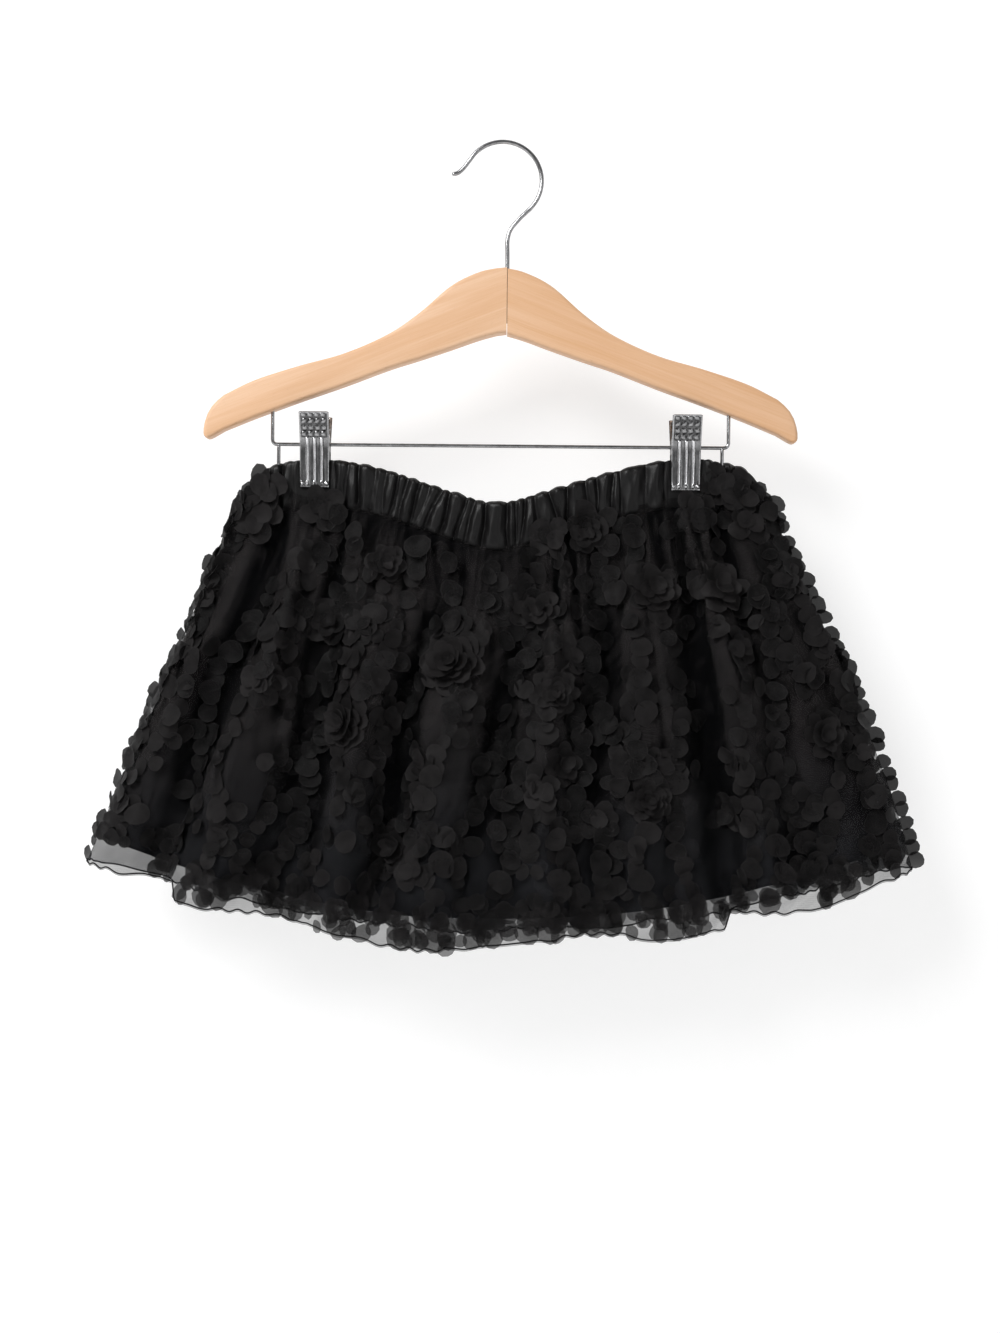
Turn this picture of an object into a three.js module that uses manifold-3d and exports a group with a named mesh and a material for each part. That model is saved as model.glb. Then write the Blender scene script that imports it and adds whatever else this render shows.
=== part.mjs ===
// A child's gathered tulle skirt with petal applique, hung from a wooden clip hanger.
// Millimetres. +X is to the right seen from the front, +Y is away from the viewer, +Z is up.
// The origin is the inner top of the hook, where the rail carries it.
import * as THREE from "three";
import { mergeVertices } from "three/addons/utils/BufferGeometryUtils.js";
import Module from "manifold-3d";

const wasm = await Module();
wasm.setup();

// Driving sizes
const GAP = 0.3; // between pieces that meet
const HANGER_THICK = 11;
const HANGER_JOINT_X = 2.9; // the glued mitre between the arms, and the hook's shank
const HOOK_WIRE = 2.4;
const HOOK_RADIUS = 21.1; // to the wire's centre line
const BAR_WIRE = 2;
const BAR_Z = -163.3;
const BAR_LEG_X = 123.2;
const BAR_BEND = 2.4;
const FINGER_X = 119.8;
const FINGER_END_Z = -174.8;
const CLIP_X = 100; // each clip's centre, left and right
const CLIP_WIDTH = 16;
const CLIP_SHEET = 1;
const WAISTBAND_HEIGHT = 26;
const WAISTBAND_WALL = 2;
const WAISTBAND_GATHERS = 40; // on each side, front and back
const TULLE_WALL = 1.5;
const TULLE_GATHERS = 24; // along each panel's top edge
const TULLE_RUFFLES = 17; // along each panel's hem
const LINING_WALL = 1;
const LINING_SEAM = 0.9; // between the band's lower edge and the lining
const LINING_SHORTER = 20; // the lining's hem hangs this far above the tulle's
const LINING_NARROWER = 5; // at each side
const LEAN_BACK = 5.6; // the cloth outside the clips stands behind the bar's fingers
const CLEAR_OF_LINING = 3; // from the lining's middle to the tulle's, where a fold dips deepest
const LENS_FLAT = 0.55; // how much flatter the skirt's sides are than its middle
const GATHER_OUT = 1.1;
const RIPPLE_OUT = 1.4;
const RUFFLE_OUT = 1.8;
const HEM_WAVE = 1.4;

// Upper and lower edge of a hanger arm, by distance from the hanger's middle
const ARM_EDGES = [
  { reach: 0, top: -67.4, under: -102.6 },
  { reach: 12, top: -70, under: -106 },
  { reach: 27, top: -77.5, under: -111.4 },
  { reach: 44, top: -92.2, under: -117.2 },
  { reach: 60, top: -103.4, under: -122.4 },
  { reach: 84, top: -114.3, under: -131.6 },
  { reach: 109, top: -121.5, under: -140.5 },
  { reach: 133, top: -129.5, under: -149.6 },
  { reach: 149, top: -137.4, under: -156.2 },
];
const ARM_STATIONS = [0, 10, 20, 32, 44, 54, 68, 84, 104, 124, 140, 150];
const ARM_END = { reach: 160, shoulder: -149, toe: -161.2 };
const ARM_BEVEL = 2.2; // the rounding of its edges

// Top edge of the waistband, and how far the tulle's top edge laps up over the band
const WAIST_LINE = [
  { x: -135, top: -185, lap: 24 },
  { x: -127, top: -176.6, lap: 23 },
  { x: -119, top: -173.6, lap: 21.5 },
  { x: -110, top: -172.2, lap: 8 },
  { x: -88, top: -172, lap: 5 },
  { x: -62, top: -177, lap: 2.5 },
  { x: -30, top: -187.4, lap: 2 },
  { x: -2, top: -194.4, lap: 2 },
  { x: 27, top: -187.4, lap: 2 },
  { x: 58, top: -177.8, lap: 4 },
  { x: 88, top: -170.8, lap: 5 },
  { x: 110, top: -169.6, lap: 8 },
  { x: 119, top: -170.8, lap: 23 },
  { x: 133, top: -174.6, lap: 24 },
  { x: 141, top: -184, lap: 24 },
];

// Half the front-to-back depth of the waist, to the middle of the band's wall
const WAIST_DEPTH = [
  { x: -135, depth: 2.8 },
  { x: -119, depth: 2.6 },
  { x: -109, depth: 1.35 },
  { x: -100, depth: 1.35 },
  { x: -91, depth: 1.35 },
  { x: -83, depth: 1.9 },
  { x: -50, depth: 4.6 },
  { x: 0, depth: 7.2 },
  { x: 50, depth: 4.6 },
  { x: 83, depth: 1.9 },
  { x: 91, depth: 1.35 },
  { x: 100, depth: 1.35 },
  { x: 109, depth: 1.35 },
  { x: 119, depth: 2.6 },
  { x: 141, depth: 2.8 },
];

// Sections of the skirt from its top edge, down = 0, to its hem, down = 1
const SECTIONS = [
  { down: 0, left: -138.5, right: 144, front: 9, back: 9, lining: 6 },
  { down: 0.15, left: -150, right: 155, front: 14, back: 13, lining: 7.5 },
  { down: 0.35, left: -167, right: 175, front: 20, back: 18, lining: 10 },
  { down: 0.6, left: -188, right: 197, front: 26, back: 23.5, lining: 13 },
  { down: 0.85, left: -209, right: 216, front: 32, back: 28, lining: 15.5 },
  { down: 1, left: -221, right: 224, front: 34.5, back: 30, lining: 16.5 },
];

const HEM_FRONT = [
  { x: -221, z: -389.5 },
  { x: -179, z: -399 },
  { x: -169, z: -408.5 },
  { x: -121, z: -415.5 },
  { x: -50, z: -430 },
  { x: 0, z: -429 },
  { x: 50, z: -422.5 },
  { x: 90, z: -424.5 },
  { x: 120, z: -420.5 },
  { x: 131, z: -413.5 },
  { x: 173, z: -408 },
  { x: 192, z: -400 },
  { x: 224, z: -390 },
];
const HEM_BACK = [
  { x: -221, z: -389.5 },
  { x: -150, z: -411 },
  { x: -92, z: -423 },
  { x: -40, z: -429 },
  { x: 45, z: -428 },
  { x: 105, z: -421 },
  { x: 160, z: -408.5 },
  { x: 224, z: -390 },
];

// The large folds: where each starts on the waist and ends on the hem, how far it stands out
// (below zero it is a valley), its half width at both ends, and where it dies out
const FOLDS_FRONT = [
  { waist: -122, hem: -203, out: 4, narrow: 7, wide: 13, fades: 2 },
  { waist: -108, hem: -183, out: -14, narrow: 6, wide: 10, fades: 2 },
  { waist: -97, hem: -161, out: 10, narrow: 7, wide: 13, fades: 2 },
  { waist: -80, hem: -113, out: -13, narrow: 7, wide: 15, fades: 2 },
  { waist: -58, hem: -86, out: 8, narrow: 10, wide: 15, fades: 2 },
  { waist: -25, hem: -70, out: -12, narrow: 5, wide: 9, fades: 1.1 },
  { waist: -8, hem: -42, out: 8, narrow: 11, wide: 20, fades: 2 },
  { waist: 12, hem: -6, out: -9, narrow: 6, wide: 10, fades: 0.75 },
  { waist: 30, hem: 22, out: 6, narrow: 9, wide: 16, fades: 2 },
  { waist: 54, hem: 50, out: -9, narrow: 6, wide: 11, fades: 0.7 },
  { waist: 70, hem: 84, out: 7, narrow: 9, wide: 17, fades: 2 },
  { waist: 94, hem: 127, out: -15, narrow: 6, wide: 13, fades: 2 },
  { waist: 103, hem: 152, out: 11, narrow: 6, wide: 12, fades: 2 },
  { waist: 122, hem: 190, out: 4, narrow: 8, wide: 14, fades: 2 },
];
const FOLDS_BACK = [
  { waist: -114, hem: -186, out: 6, narrow: 7, wide: 13, fades: 2 },
  { waist: -98, hem: -154, out: -9, narrow: 6, wide: 12, fades: 2 },
  { waist: -78, hem: -124, out: 8, narrow: 8, wide: 15, fades: 2 },
  { waist: -52, hem: -88, out: -9, narrow: 7, wide: 11, fades: 0.85 },
  { waist: -30, hem: -54, out: 7, narrow: 9, wide: 17, fades: 2 },
  { waist: -8, hem: -18, out: -8, narrow: 6, wide: 11, fades: 2 },
  { waist: 16, hem: 18, out: 7, narrow: 9, wide: 16, fades: 2 },
  { waist: 38, hem: 54, out: -9, narrow: 6, wide: 10, fades: 0.8 },
  { waist: 60, hem: 86, out: 8, narrow: 8, wide: 16, fades: 2 },
  { waist: 84, hem: 122, out: -9, narrow: 6, wide: 11, fades: 2 },
  { waist: 98, hem: 150, out: 7, narrow: 7, wide: 13, fades: 2 },
  { waist: 120, hem: 188, out: -5, narrow: 7, wide: 11, fades: 2 },
];

// Layered flowers sewn to the tulle: centre, radius and height
const ROSETTES_FRONT = [
  { x: -25, z: -281, radius: 19, height: 4.5 },
  { x: -80, z: -313, radius: 17, height: 4.5 },
  { x: -54, z: -379, radius: 17, height: 4.5 },
  { x: 83, z: -242, radius: 17, height: 4.5 },
  { x: 116, z: -241, radius: 17, height: 4 },
  { x: 30, z: -296, radius: 15, height: 4 },
  { x: 46, z: -212, radius: 14, height: 3.5 },
  { x: -87, z: -262, radius: 15, height: 3.5 },
  { x: 79, z: -352, radius: 15, height: 3.5 },
  { x: 172, z: -318, radius: 15, height: 3.5 },
];
const ROSETTES_BACK = [
  { x: 22, z: -276, radius: 19, height: 4.5 },
  { x: 84, z: -318, radius: 17, height: 4.5 },
  { x: 48, z: -380, radius: 17, height: 4.5 },
  { x: -82, z: -246, radius: 17, height: 4.5 },
  { x: -118, z: -302, radius: 16, height: 4 },
  { x: -34, z: -322, radius: 15, height: 4 },
  { x: 128, z: -256, radius: 15, height: 3.5 },
  { x: -150, z: -366, radius: 15, height: 3.5 },
];
const GARLANDS = 10; // runs of single petals down each panel
const PETAL_RAISE = 1.3;

// Grid of each cloth wall: columns across, rows down outside and inside, and how far the rows
// crowd towards its top edge
const TULLE_FRONT_GRID = { columns: 80, outside: 23, inside: 11, crowd: 1.1 };
const TULLE_BACK_GRID = { columns: 68, outside: 19, inside: 10, crowd: 1.1 };
const LINING_GRID = { columns: 38, outside: 7, inside: 7, crowd: 1.35 };

const lerp = THREE.MathUtils.lerp;
const smoothstep = THREE.MathUtils.smoothstep;
const wave = (turns, phase) => Math.sin(2 * Math.PI * turns + phase);

// A smooth line through one column of a table, read at a value of its key column
function follow(rows, key, column, at) {
  const last = rows.length - 1;
  if (at <= rows[0][key]) return rows[0][column];
  if (at >= rows[last][key]) return rows[last][column];
  let i = 0;
  while (at > rows[i + 1][key]) i++;
  const slope = (j) => {
    const a = rows[Math.max(j - 1, 0)];
    const b = rows[Math.min(j + 1, last)];
    return (b[column] - a[column]) / (b[key] - a[key]);
  };
  const span = rows[i + 1][key] - rows[i][key];
  const s = (at - rows[i][key]) / span;
  const s2 = s * s;
  const s3 = s2 * s;
  return (
    (2 * s3 - 3 * s2 + 1) * rows[i][column] +
    (s3 - 2 * s2 + s) * span * slope(i) +
    (3 * s2 - 2 * s3) * rows[i + 1][column] +
    (s3 - s2) * span * slope(i + 1)
  );
}

// Across a flattened tube from its left side, 0, to its right side, 1: across runs from -1 to 1,
// and corner rises from 0 at a side to 1 where the rounded side ends
function acrossTube(v, cornerShare, cornerWidth) {
  const fromSide = Math.min(v, 1 - v);
  const side = v < 0.5 ? -1 : 1;
  if (fromSide >= cornerShare) {
    const flat = (v - cornerShare) / (1 - 2 * cornerShare);
    return { across: lerp(cornerWidth - 1, 1 - cornerWidth, flat), corner: 1 };
  }
  const turn = ((fromSide / cornerShare) * Math.PI) / 2;
  return { across: side * (1 - cornerWidth * (1 - Math.cos(turn))), corner: Math.sin(turn) };
}

const leanBack = (x) => LEAN_BACK * smoothstep(Math.abs(x), 109, 118);
const waistDepth = (x) => follow(WAIST_DEPTH, "x", "depth", x);
const waistTop = (x) => follow(WAIST_LINE, "x", "top", x);
const clipFree = (x) => smoothstep(Math.abs(Math.abs(x) - CLIP_X), 9, 16);

// The middle of a fold line at some depth down the skirt, and its outward push there
function foldPush(folds, x, down) {
  let push = 0;
  for (const fold of folds) {
    const middle = lerp(fold.waist, fold.hem, down);
    const half = lerp(fold.narrow, fold.wide, down);
    const grown = smoothstep(down, 0, 0.45) * (1 - smoothstep(down, fold.fades - 0.3, fold.fades));
    push += fold.out * grown * Math.exp(-(((x - middle) / half) ** 2));
  }
  return push;
}

// One upright line of the skirt, by its place across the flattened tube
function upright(side, across) {
  const part = (across + 1) / 2;
  const topX = lerp(SECTIONS[0].left, SECTIONS[0].right, part);
  const hemX = lerp(SECTIONS.at(-1).left, SECTIONS.at(-1).right, part);
  const topZ = waistTop(topX) - WAISTBAND_HEIGHT + follow(WAIST_LINE, "x", "lap", topX);
  const hemZ = follow(side < 0 ? HEM_FRONT : HEM_BACK, "x", "z", hemX);
  return { part, topZ, hemZ, lens: 1 - LENS_FLAT * Math.abs(across) ** 2.2 };
}

// How far the lining's middle stands off the skirt's middle plane
function liningAway(line, x, down) {
  const deep = follow(SECTIONS, "down", "lining", down) * line.lens;
  return lerp(waistDepth(x), deep, smoothstep(down, 0.12, 0.45));
}

// The backward lean of the cloth beside the clips, fading below the band
function lean(x, z) {
  const below = waistTop(x) - WAISTBAND_HEIGHT - z;
  return leanBack(x) * (1 - smoothstep(below, 0, 90));
}

// A point on the middle of the tulle. side is -1 for the front and 1 for the back
function tullePoint(side, v, down) {
  const { across, corner } = acrossTube(v, 0.06, lerp(0.03, 0.06, down));
  const line = upright(side, across);
  const left = follow(SECTIONS, "down", "left", down);
  const right = follow(SECTIONS, "down", "right", down);
  const x = lerp(left, right, line.part);
  const hemWave = HEM_WAVE * corner * wave(v * TULLE_RUFFLES * 1.31, 0.7 + side);
  const z = lerp(line.topZ, line.hemZ + hemWave, down);

  const spread = smoothstep(down, 0, 0.4);
  const deep = follow(SECTIONS, "down", side < 0 ? "front" : "back", down) * line.lens;
  const gather = GATHER_OUT * wave(v * TULLE_GATHERS + 0.35 * wave(v * 5, 0), 0.4 + side);
  const gathers = gather * (1 - smoothstep(down, 0.05, 0.75)) * (0.55 + 0.45 * wave(v * 3.7, 1));
  const ripples = RIPPLE_OUT * spread * wave(v * 13 + 0.3 * wave(v * 4 + down, 2), down + side);
  const full = lerp(waistDepth(x) + 4.2, deep, spread) + gathers + ripples;
  const folds = side < 0 ? FOLDS_FRONT : FOLDS_BACK;
  const ruffle = RUFFLE_OUT * smoothstep(down, 0.72, 1) * wave(v * TULLE_RUFFLES, side);
  const out = full + foldPush(folds, x, down) + ruffle;
  const nearest = liningAway(line, x, down) + CLEAR_OF_LINING;
  const away = 0.5 * (out + nearest + Math.hypot(out - nearest, 1.2));
  return new THREE.Vector3(x, lean(x, z) + side * (GAP / 2 + away * corner), z);
}

// A point on the middle of the lining, which hangs from the band's lower edge
function liningPoint(side, v, down) {
  const { across, corner } = acrossTube(v, 0.08, 0.06);
  const line = upright(1, across);
  const bandX = lerp(WAIST_LINE[0].x, WAIST_LINE.at(-1).x, line.part);
  const topZ = waistTop(bandX) - WAISTBAND_HEIGHT - LINING_SEAM;
  const z = lerp(topZ, line.hemZ + LINING_SHORTER, down);
  const level = (line.topZ - z) / (line.topZ - line.hemZ);
  const left = follow(SECTIONS, "down", "left", level) + LINING_NARROWER;
  const right = follow(SECTIONS, "down", "right", level) - LINING_NARROWER;
  const x = lerp(bandX, lerp(left, right, line.part), smoothstep(down, 0, 0.25));
  const ripples = 0.7 * smoothstep(down, 0, 0.4) * wave(v * 8, side + down);
  const away = (liningAway(line, x, level) + ripples) * corner;
  return new THREE.Vector3(x, lean(x, z) + side * (GAP / 2 + away), z);
}

// How far applique stands off the tulle at a point: layered flowers, then single petals
function appliqueRaise(side, v, down, point, column, row) {
  for (const flower of side < 0 ? ROSETTES_FRONT : ROSETTES_BACK) {
    const off = Math.hypot(point.x - flower.x, point.z - flower.z) / flower.radius;
    if (off < 1) return flower.height * (0.45 + 0.55 * Math.cos((off * Math.PI) / 2));
  }
  const strand = v * GARLANDS + 0.28 * wave(down * 1.5, Math.floor(v * GARLANDS) * 1.7);
  const inGarland = Math.abs(strand - Math.floor(strand) - 0.5) < 0.33;
  return inGarland && (column + row) % 2 ? PETAL_RAISE : 0.2;
}

// The outward direction of a surface given as a function of across and down
function outward(surface, side, v, down) {
  const step = 0.002;
  const a = surface(side, Math.max(v - step, 0), down);
  const b = surface(side, Math.min(v + step, 1), down);
  const c = surface(side, v, Math.max(down - step, 0));
  const d = surface(side, v, Math.min(down + step, 1));
  const normal = b.sub(a).cross(d.sub(c)).normalize();
  return normal.multiplyScalar(side);
}

// Adds the triangles between two lines of vertex numbers that run the same way, facing the
// other way if flipped
function zip(triangles, first, second, flipped = false) {
  const push = (a, b, c) => (flipped ? triangles.push(a, c, b) : triangles.push(a, b, c));
  let i = 0;
  let j = 0;
  while (i < first.length - 1 || j < second.length - 1) {
    const middleFirst = (i + 0.5) / (first.length - 1);
    const middleSecond = (j + 0.5) / (second.length - 1);
    if (j >= second.length - 1 || (i < first.length - 1 && middleFirst <= middleSecond)) {
      push(first[i], first[i + 1], second[j]);
      i++;
    } else {
      push(first[i], second[j + 1], second[j]);
      j++;
    }
  }
}

// A closed wall between an outside and an inside grid of points. A ring's columns close on
// themselves, and a panel has two side edges
function wall(outside, inside, ring) {
  const points = [...outside.flat(), ...inside.flat()];
  const triangles = [];
  const numbers = (grid, base) => {
    const rows = grid.map((row, r) => row.map((_, c) => base + r * row.length + c));
    return ring ? rows.map((row) => [...row, row[0]]) : rows;
  };
  const out = numbers(outside, 0);
  const inn = numbers(inside, outside.flat().length);
  for (let r = 0; r < out.length - 1; r++) zip(triangles, out[r], out[r + 1]);
  for (let r = 0; r < inn.length - 1; r++) zip(triangles, inn[r], inn[r + 1], true);
  zip(triangles, inn[0], out[0]);
  zip(triangles, out.at(-1), inn.at(-1));
  if (!ring) {
    const column = (grid, c) => grid.map((row) => row.at(c));
    zip(triangles, column(out, 0), column(inn, 0));
    zip(triangles, column(inn, -1), column(out, -1));
  }
  const geometry = new THREE.BufferGeometry().setFromPoints(points);
  geometry.setIndex(triangles);
  if (signedVolume(geometry) < 0) geometry.setIndex(triangles.reverse());
  return geometry;
}

function signedVolume(geometry) {
  const at = geometry.getAttribute("position");
  const [a, b, c] = [new THREE.Vector3(), new THREE.Vector3(), new THREE.Vector3()];
  let volume = 0;
  for (let i = 0; i < geometry.index.count; i += 3) {
    a.fromBufferAttribute(at, geometry.index.getX(i));
    b.fromBufferAttribute(at, geometry.index.getX(i + 1));
    c.fromBufferAttribute(at, geometry.index.getX(i + 2));
    volume += a.dot(b.cross(c)) / 6;
  }
  return volume;
}

// A cloth panel as a wall on its middle surface, with applique raised in the outer points
function panel(surface, side, thick, grid, raise) {
  const layer = (rows, off, raised) => {
    const lines = [];
    for (let r = 0; r <= rows; r++) {
      const line = [];
      for (let c = 0; c <= grid.columns; c++) {
        const v = c / grid.columns;
        const down = (r / rows) ** grid.crowd;
        const point = surface(side, v, down);
        const sideEdge = c === 0 || c === grid.columns;
        const seamY = point.y;
        const onEdge = sideEdge || r === 0 || r === rows;
        if (raised && !onEdge) point.y += side * raised(side, v, down, point, c, r);
        point.addScaledVector(outward(surface, side, v, down), off);
        if (sideEdge) point.y = seamY;
        line.push(point);
      }
      lines.push(line);
    }
    return lines;
  };
  return wall(layer(grid.outside, thick / 2, raise), layer(grid.inside, -thick / 2), false);
}

// The waistband: one flattened ring, gathered by its elastic on the outside and plain inside
function waistbandRing() {
  const left = WAIST_LINE[0].x;
  const right = WAIST_LINE.at(-1).x;
  const middle = (side, v) => {
    const { across, corner } = acrossTube(v, 0.03, 0.03);
    const x = lerp(left, right, (across + 1) / 2);
    return new THREE.Vector2(x, leanBack(x) + side * waistDepth(x) * corner);
  };
  const loop = (perSide, rows, off, gathered) => {
    const lines = [];
    for (let r = 0; r <= rows; r++) {
      const line = [];
      for (const side of [-1, 1]) {
        for (let c = 0; c < perSide; c++) {
          const v = side < 0 ? c / perSide : 1 - c / perSide;
          const point = middle(side, v);
          const back = middle(side, Math.max(v - 0.004, 0));
          const ahead = middle(side, Math.min(v + 0.004, 1));
          const sideEnd = c === 0 ? Math.sign(v - 0.5) : 0;
          const along = ahead.sub(back).normalize();
          const normal = sideEnd
            ? new THREE.Vector2(sideEnd, 0)
            : new THREE.Vector2(-side * along.y, side * along.x);
          const gather = 0.75 * clipFree(point.x) * wave(v * WAISTBAND_GATHERS, 0.6 * r);
          point.addScaledVector(normal, off + (gathered && !sideEnd ? gather : 0));
          const top = waistTop(point.x) + (gathered && r === 0 ? 0.5 * gather : 0);
          line.push(new THREE.Vector3(point.x, point.y, top - (WAISTBAND_HEIGHT * r) / rows));
        }
      }
      lines.push(line);
    }
    return lines;
  };
  const outside = loop(WAISTBAND_GATHERS * 3, 2, WAISTBAND_WALL / 2, true);
  return wall(outside, loop(40, 1, -WAISTBAND_WALL / 2, false), true);
}

// A wire of round section along a curve in the XZ plane
function wire(curve, diameter, steps) {
  const section = new THREE.Shape().absarc(0, 0, diameter / 2, 0, 2 * Math.PI);
  return new THREE.ExtrudeGeometry(section, { extrudePath: curve, steps, curveSegments: 4 });
}

// A line of rounded corners through points, as a curve
function roundedPath(corners, radius) {
  const path = new THREE.CurvePath();
  let from = corners[0];
  for (let i = 1; i < corners.length - 1; i++) {
    const before = corners[i].clone().sub(corners[i - 1]).normalize();
    const after = corners[i + 1].clone().sub(corners[i]).normalize();
    const start = corners[i].clone().addScaledVector(before, -radius);
    const end = corners[i].clone().addScaledVector(after, radius);
    path.add(new THREE.LineCurve3(from, start));
    path.add(new THREE.QuadraticBezierCurve3(start, corners[i], end));
    from = end;
  }
  path.add(new THREE.LineCurve3(from, corners.at(-1)));
  return path;
}

const inPlane = (x, z) => new THREE.Vector3(x, 0, z);

// The hook: a turned-out tip, most of a circle round the rail, and the shank down into the wood
function hookWire() {
  const centreZ = HOOK_WIRE / 2 - HOOK_RADIUS;
  const onCircle = (degrees) => {
    const turn = THREE.MathUtils.degToRad(degrees);
    return inPlane(HOOK_RADIUS * Math.cos(turn), centreZ + HOOK_RADIUS * Math.sin(turn));
  };
  const points = [inPlane(-27.6, -16.6), inPlane(-24.4, -15.9), inPlane(-21.4, -13.4)];
  for (let degrees = 150; degrees >= -42; degrees -= 16) points.push(onCircle(degrees));
  points.push(inPlane(9.2, -40.4), inPlane(4.3, -46.6), inPlane(HANGER_JOINT_X, -51.5));
  points.push(inPlane(HANGER_JOINT_X, -60), inPlane(HANGER_JOINT_X, -85));
  points.push(inPlane(HANGER_JOINT_X, -97));
  return wire(new THREE.CatmullRomCurve3(points, false, "centripetal"), HOOK_WIRE, 46);
}

// A solid for joining and cutting, and back to a geometry
function solid(geometry) {
  const bare = geometry.clone();
  bare.deleteAttribute("normal");
  bare.deleteAttribute("uv");
  const merged = mergeVertices(bare, 1e-4);
  const mesh = new wasm.Mesh({
    numProp: 3,
    vertProperties: merged.attributes.position.array,
    triVerts: new Uint32Array(merged.index.array),
  });
  return new wasm.Manifold(mesh);
}

function geometryOf(manifold) {
  const { vertProperties, triVerts } = manifold.getMesh();
  const geometry = new THREE.BufferGeometry();
  geometry.setAttribute("position", new THREE.BufferAttribute(vertProperties, 3));
  return geometry.setIndex(new THREE.BufferAttribute(triVerts, 1));
}

// A drill along Z, for the sockets of the shank and of the bar's legs
function drill(x, fromZ, toZ, diameter) {
  const tool = new THREE.CylinderGeometry(diameter / 2, diameter / 2, toZ - fromZ, 8);
  tool.rotateX(Math.PI / 2);
  return solid(tool.translate(x, 0, (fromZ + toZ) / 2));
}

// One arm of the hanger. side is -1 for the left and 1 for the right
function hangerArm(side) {
  const start = ARM_BEVEL + GAP / 2 + side * HANGER_JOINT_X;
  const tip = ARM_END.reach - ARM_BEVEL;
  const edge = (column, into) =>
    ARM_STATIONS.map((reach) => {
      const z = follow(ARM_EDGES, "reach", column, reach) + into;
      return new THREE.Vector2(Math.max(reach, start), z);
    });
  const outline = new THREE.Shape([
    ...edge("top", -ARM_BEVEL),
    new THREE.Vector2(tip - 1.5, ARM_END.shoulder + 5),
    new THREE.Vector2(tip, ARM_END.shoulder - 1),
    new THREE.Vector2(tip, ARM_END.toe + ARM_BEVEL + 1.5),
    new THREE.Vector2(tip - 2, ARM_END.toe + ARM_BEVEL),
    ...edge("under", ARM_BEVEL).reverse(),
  ]);
  const body = new THREE.ExtrudeGeometry(outline, {
    depth: HANGER_THICK - 2 * ARM_BEVEL,
    bevelThickness: ARM_BEVEL,
    bevelSize: ARM_BEVEL,
    bevelSegments: 2,
  });
  body.translate(0, 0, ARM_BEVEL - HANGER_THICK / 2);
  body.rotateX(Math.PI / 2);
  if (side < 0) body.rotateZ(Math.PI);
  // The mitre is sawn flat, so the rounding at the joint is filled out and cut square
  const block = new THREE.BoxGeometry(6, HANGER_THICK, 33.5);
  const filler = solid(block.translate(HANGER_JOINT_X + side * (3 + GAP / 2), 0, -84.6));
  let arm = solid(body).add(filler);
  arm = arm.subtract(drill(HANGER_JOINT_X, -98, -60, HOOK_WIRE + 2 * GAP));
  arm = arm.subtract(drill(side * BAR_LEG_X, -150, -138, BAR_WIRE + 2 * GAP));
  return geometryOf(arm);
}

// The clip bar: two legs up into the wood, the bar, and a short finger down at each end
function clipBar() {
  const corners = [
    inPlane(-BAR_LEG_X, -139),
    inPlane(-BAR_LEG_X, BAR_Z),
    inPlane(BAR_LEG_X, BAR_Z),
    inPlane(BAR_LEG_X, -139),
  ];
  let bar = solid(wire(roundedPath(corners, BAR_BEND), BAR_WIRE, 44));
  for (const side of [-1, 1]) {
    const top = BAR_Z + BAR_WIRE / 4;
    const finger = new THREE.CylinderGeometry(BAR_WIRE / 2, BAR_WIRE / 2, top - FINGER_END_Z, 8);
    finger.rotateX(Math.PI / 2);
    finger.translate(side * FINGER_X, 0, (top + FINGER_END_Z) / 2);
    bar = bar.add(solid(finger));
  }
  return geometryOf(bar);
}

// One stamped plate of a clip, seen from its side: Y is its distance from the bar's plane
const PLATE_LINE = [
  { z: -147.2, off: 12.2 },
  { z: -155, off: 8.6 },
  { z: BAR_Z, off: 5.2 },
  { z: -172, off: 4.1 },
  { z: -181, off: 3.15 },
  { z: -186.6, off: 3.15 },
];
const PLATE_RIB = { count: 3, width: 1.6, proud: 0.6, from: 2, to: 4 };
const EAR = { top: -159.5, bottom: -167, reach: 1.3, thick: 1 };

// A strip that follows the plate's line between two rows, between two distances off that line
function plateStrip(rows, inner, outer, width, x) {
  const outline = new THREE.Shape();
  const line = rows.map((row) => new THREE.Vector2(row.off, row.z));
  const shifted = (off) => line.map((p) => new THREE.Vector2(p.x + off, p.y));
  const loop = [...shifted(outer), ...shifted(inner).reverse()];
  outline.setFromPoints(loop);
  const strip = new THREE.ExtrudeGeometry(outline, { depth: width, bevelEnabled: false });
  strip.rotateX(Math.PI / 2);
  strip.rotateZ(Math.PI / 2);
  return strip.translate(x - width / 2, 0, 0);
}

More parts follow.
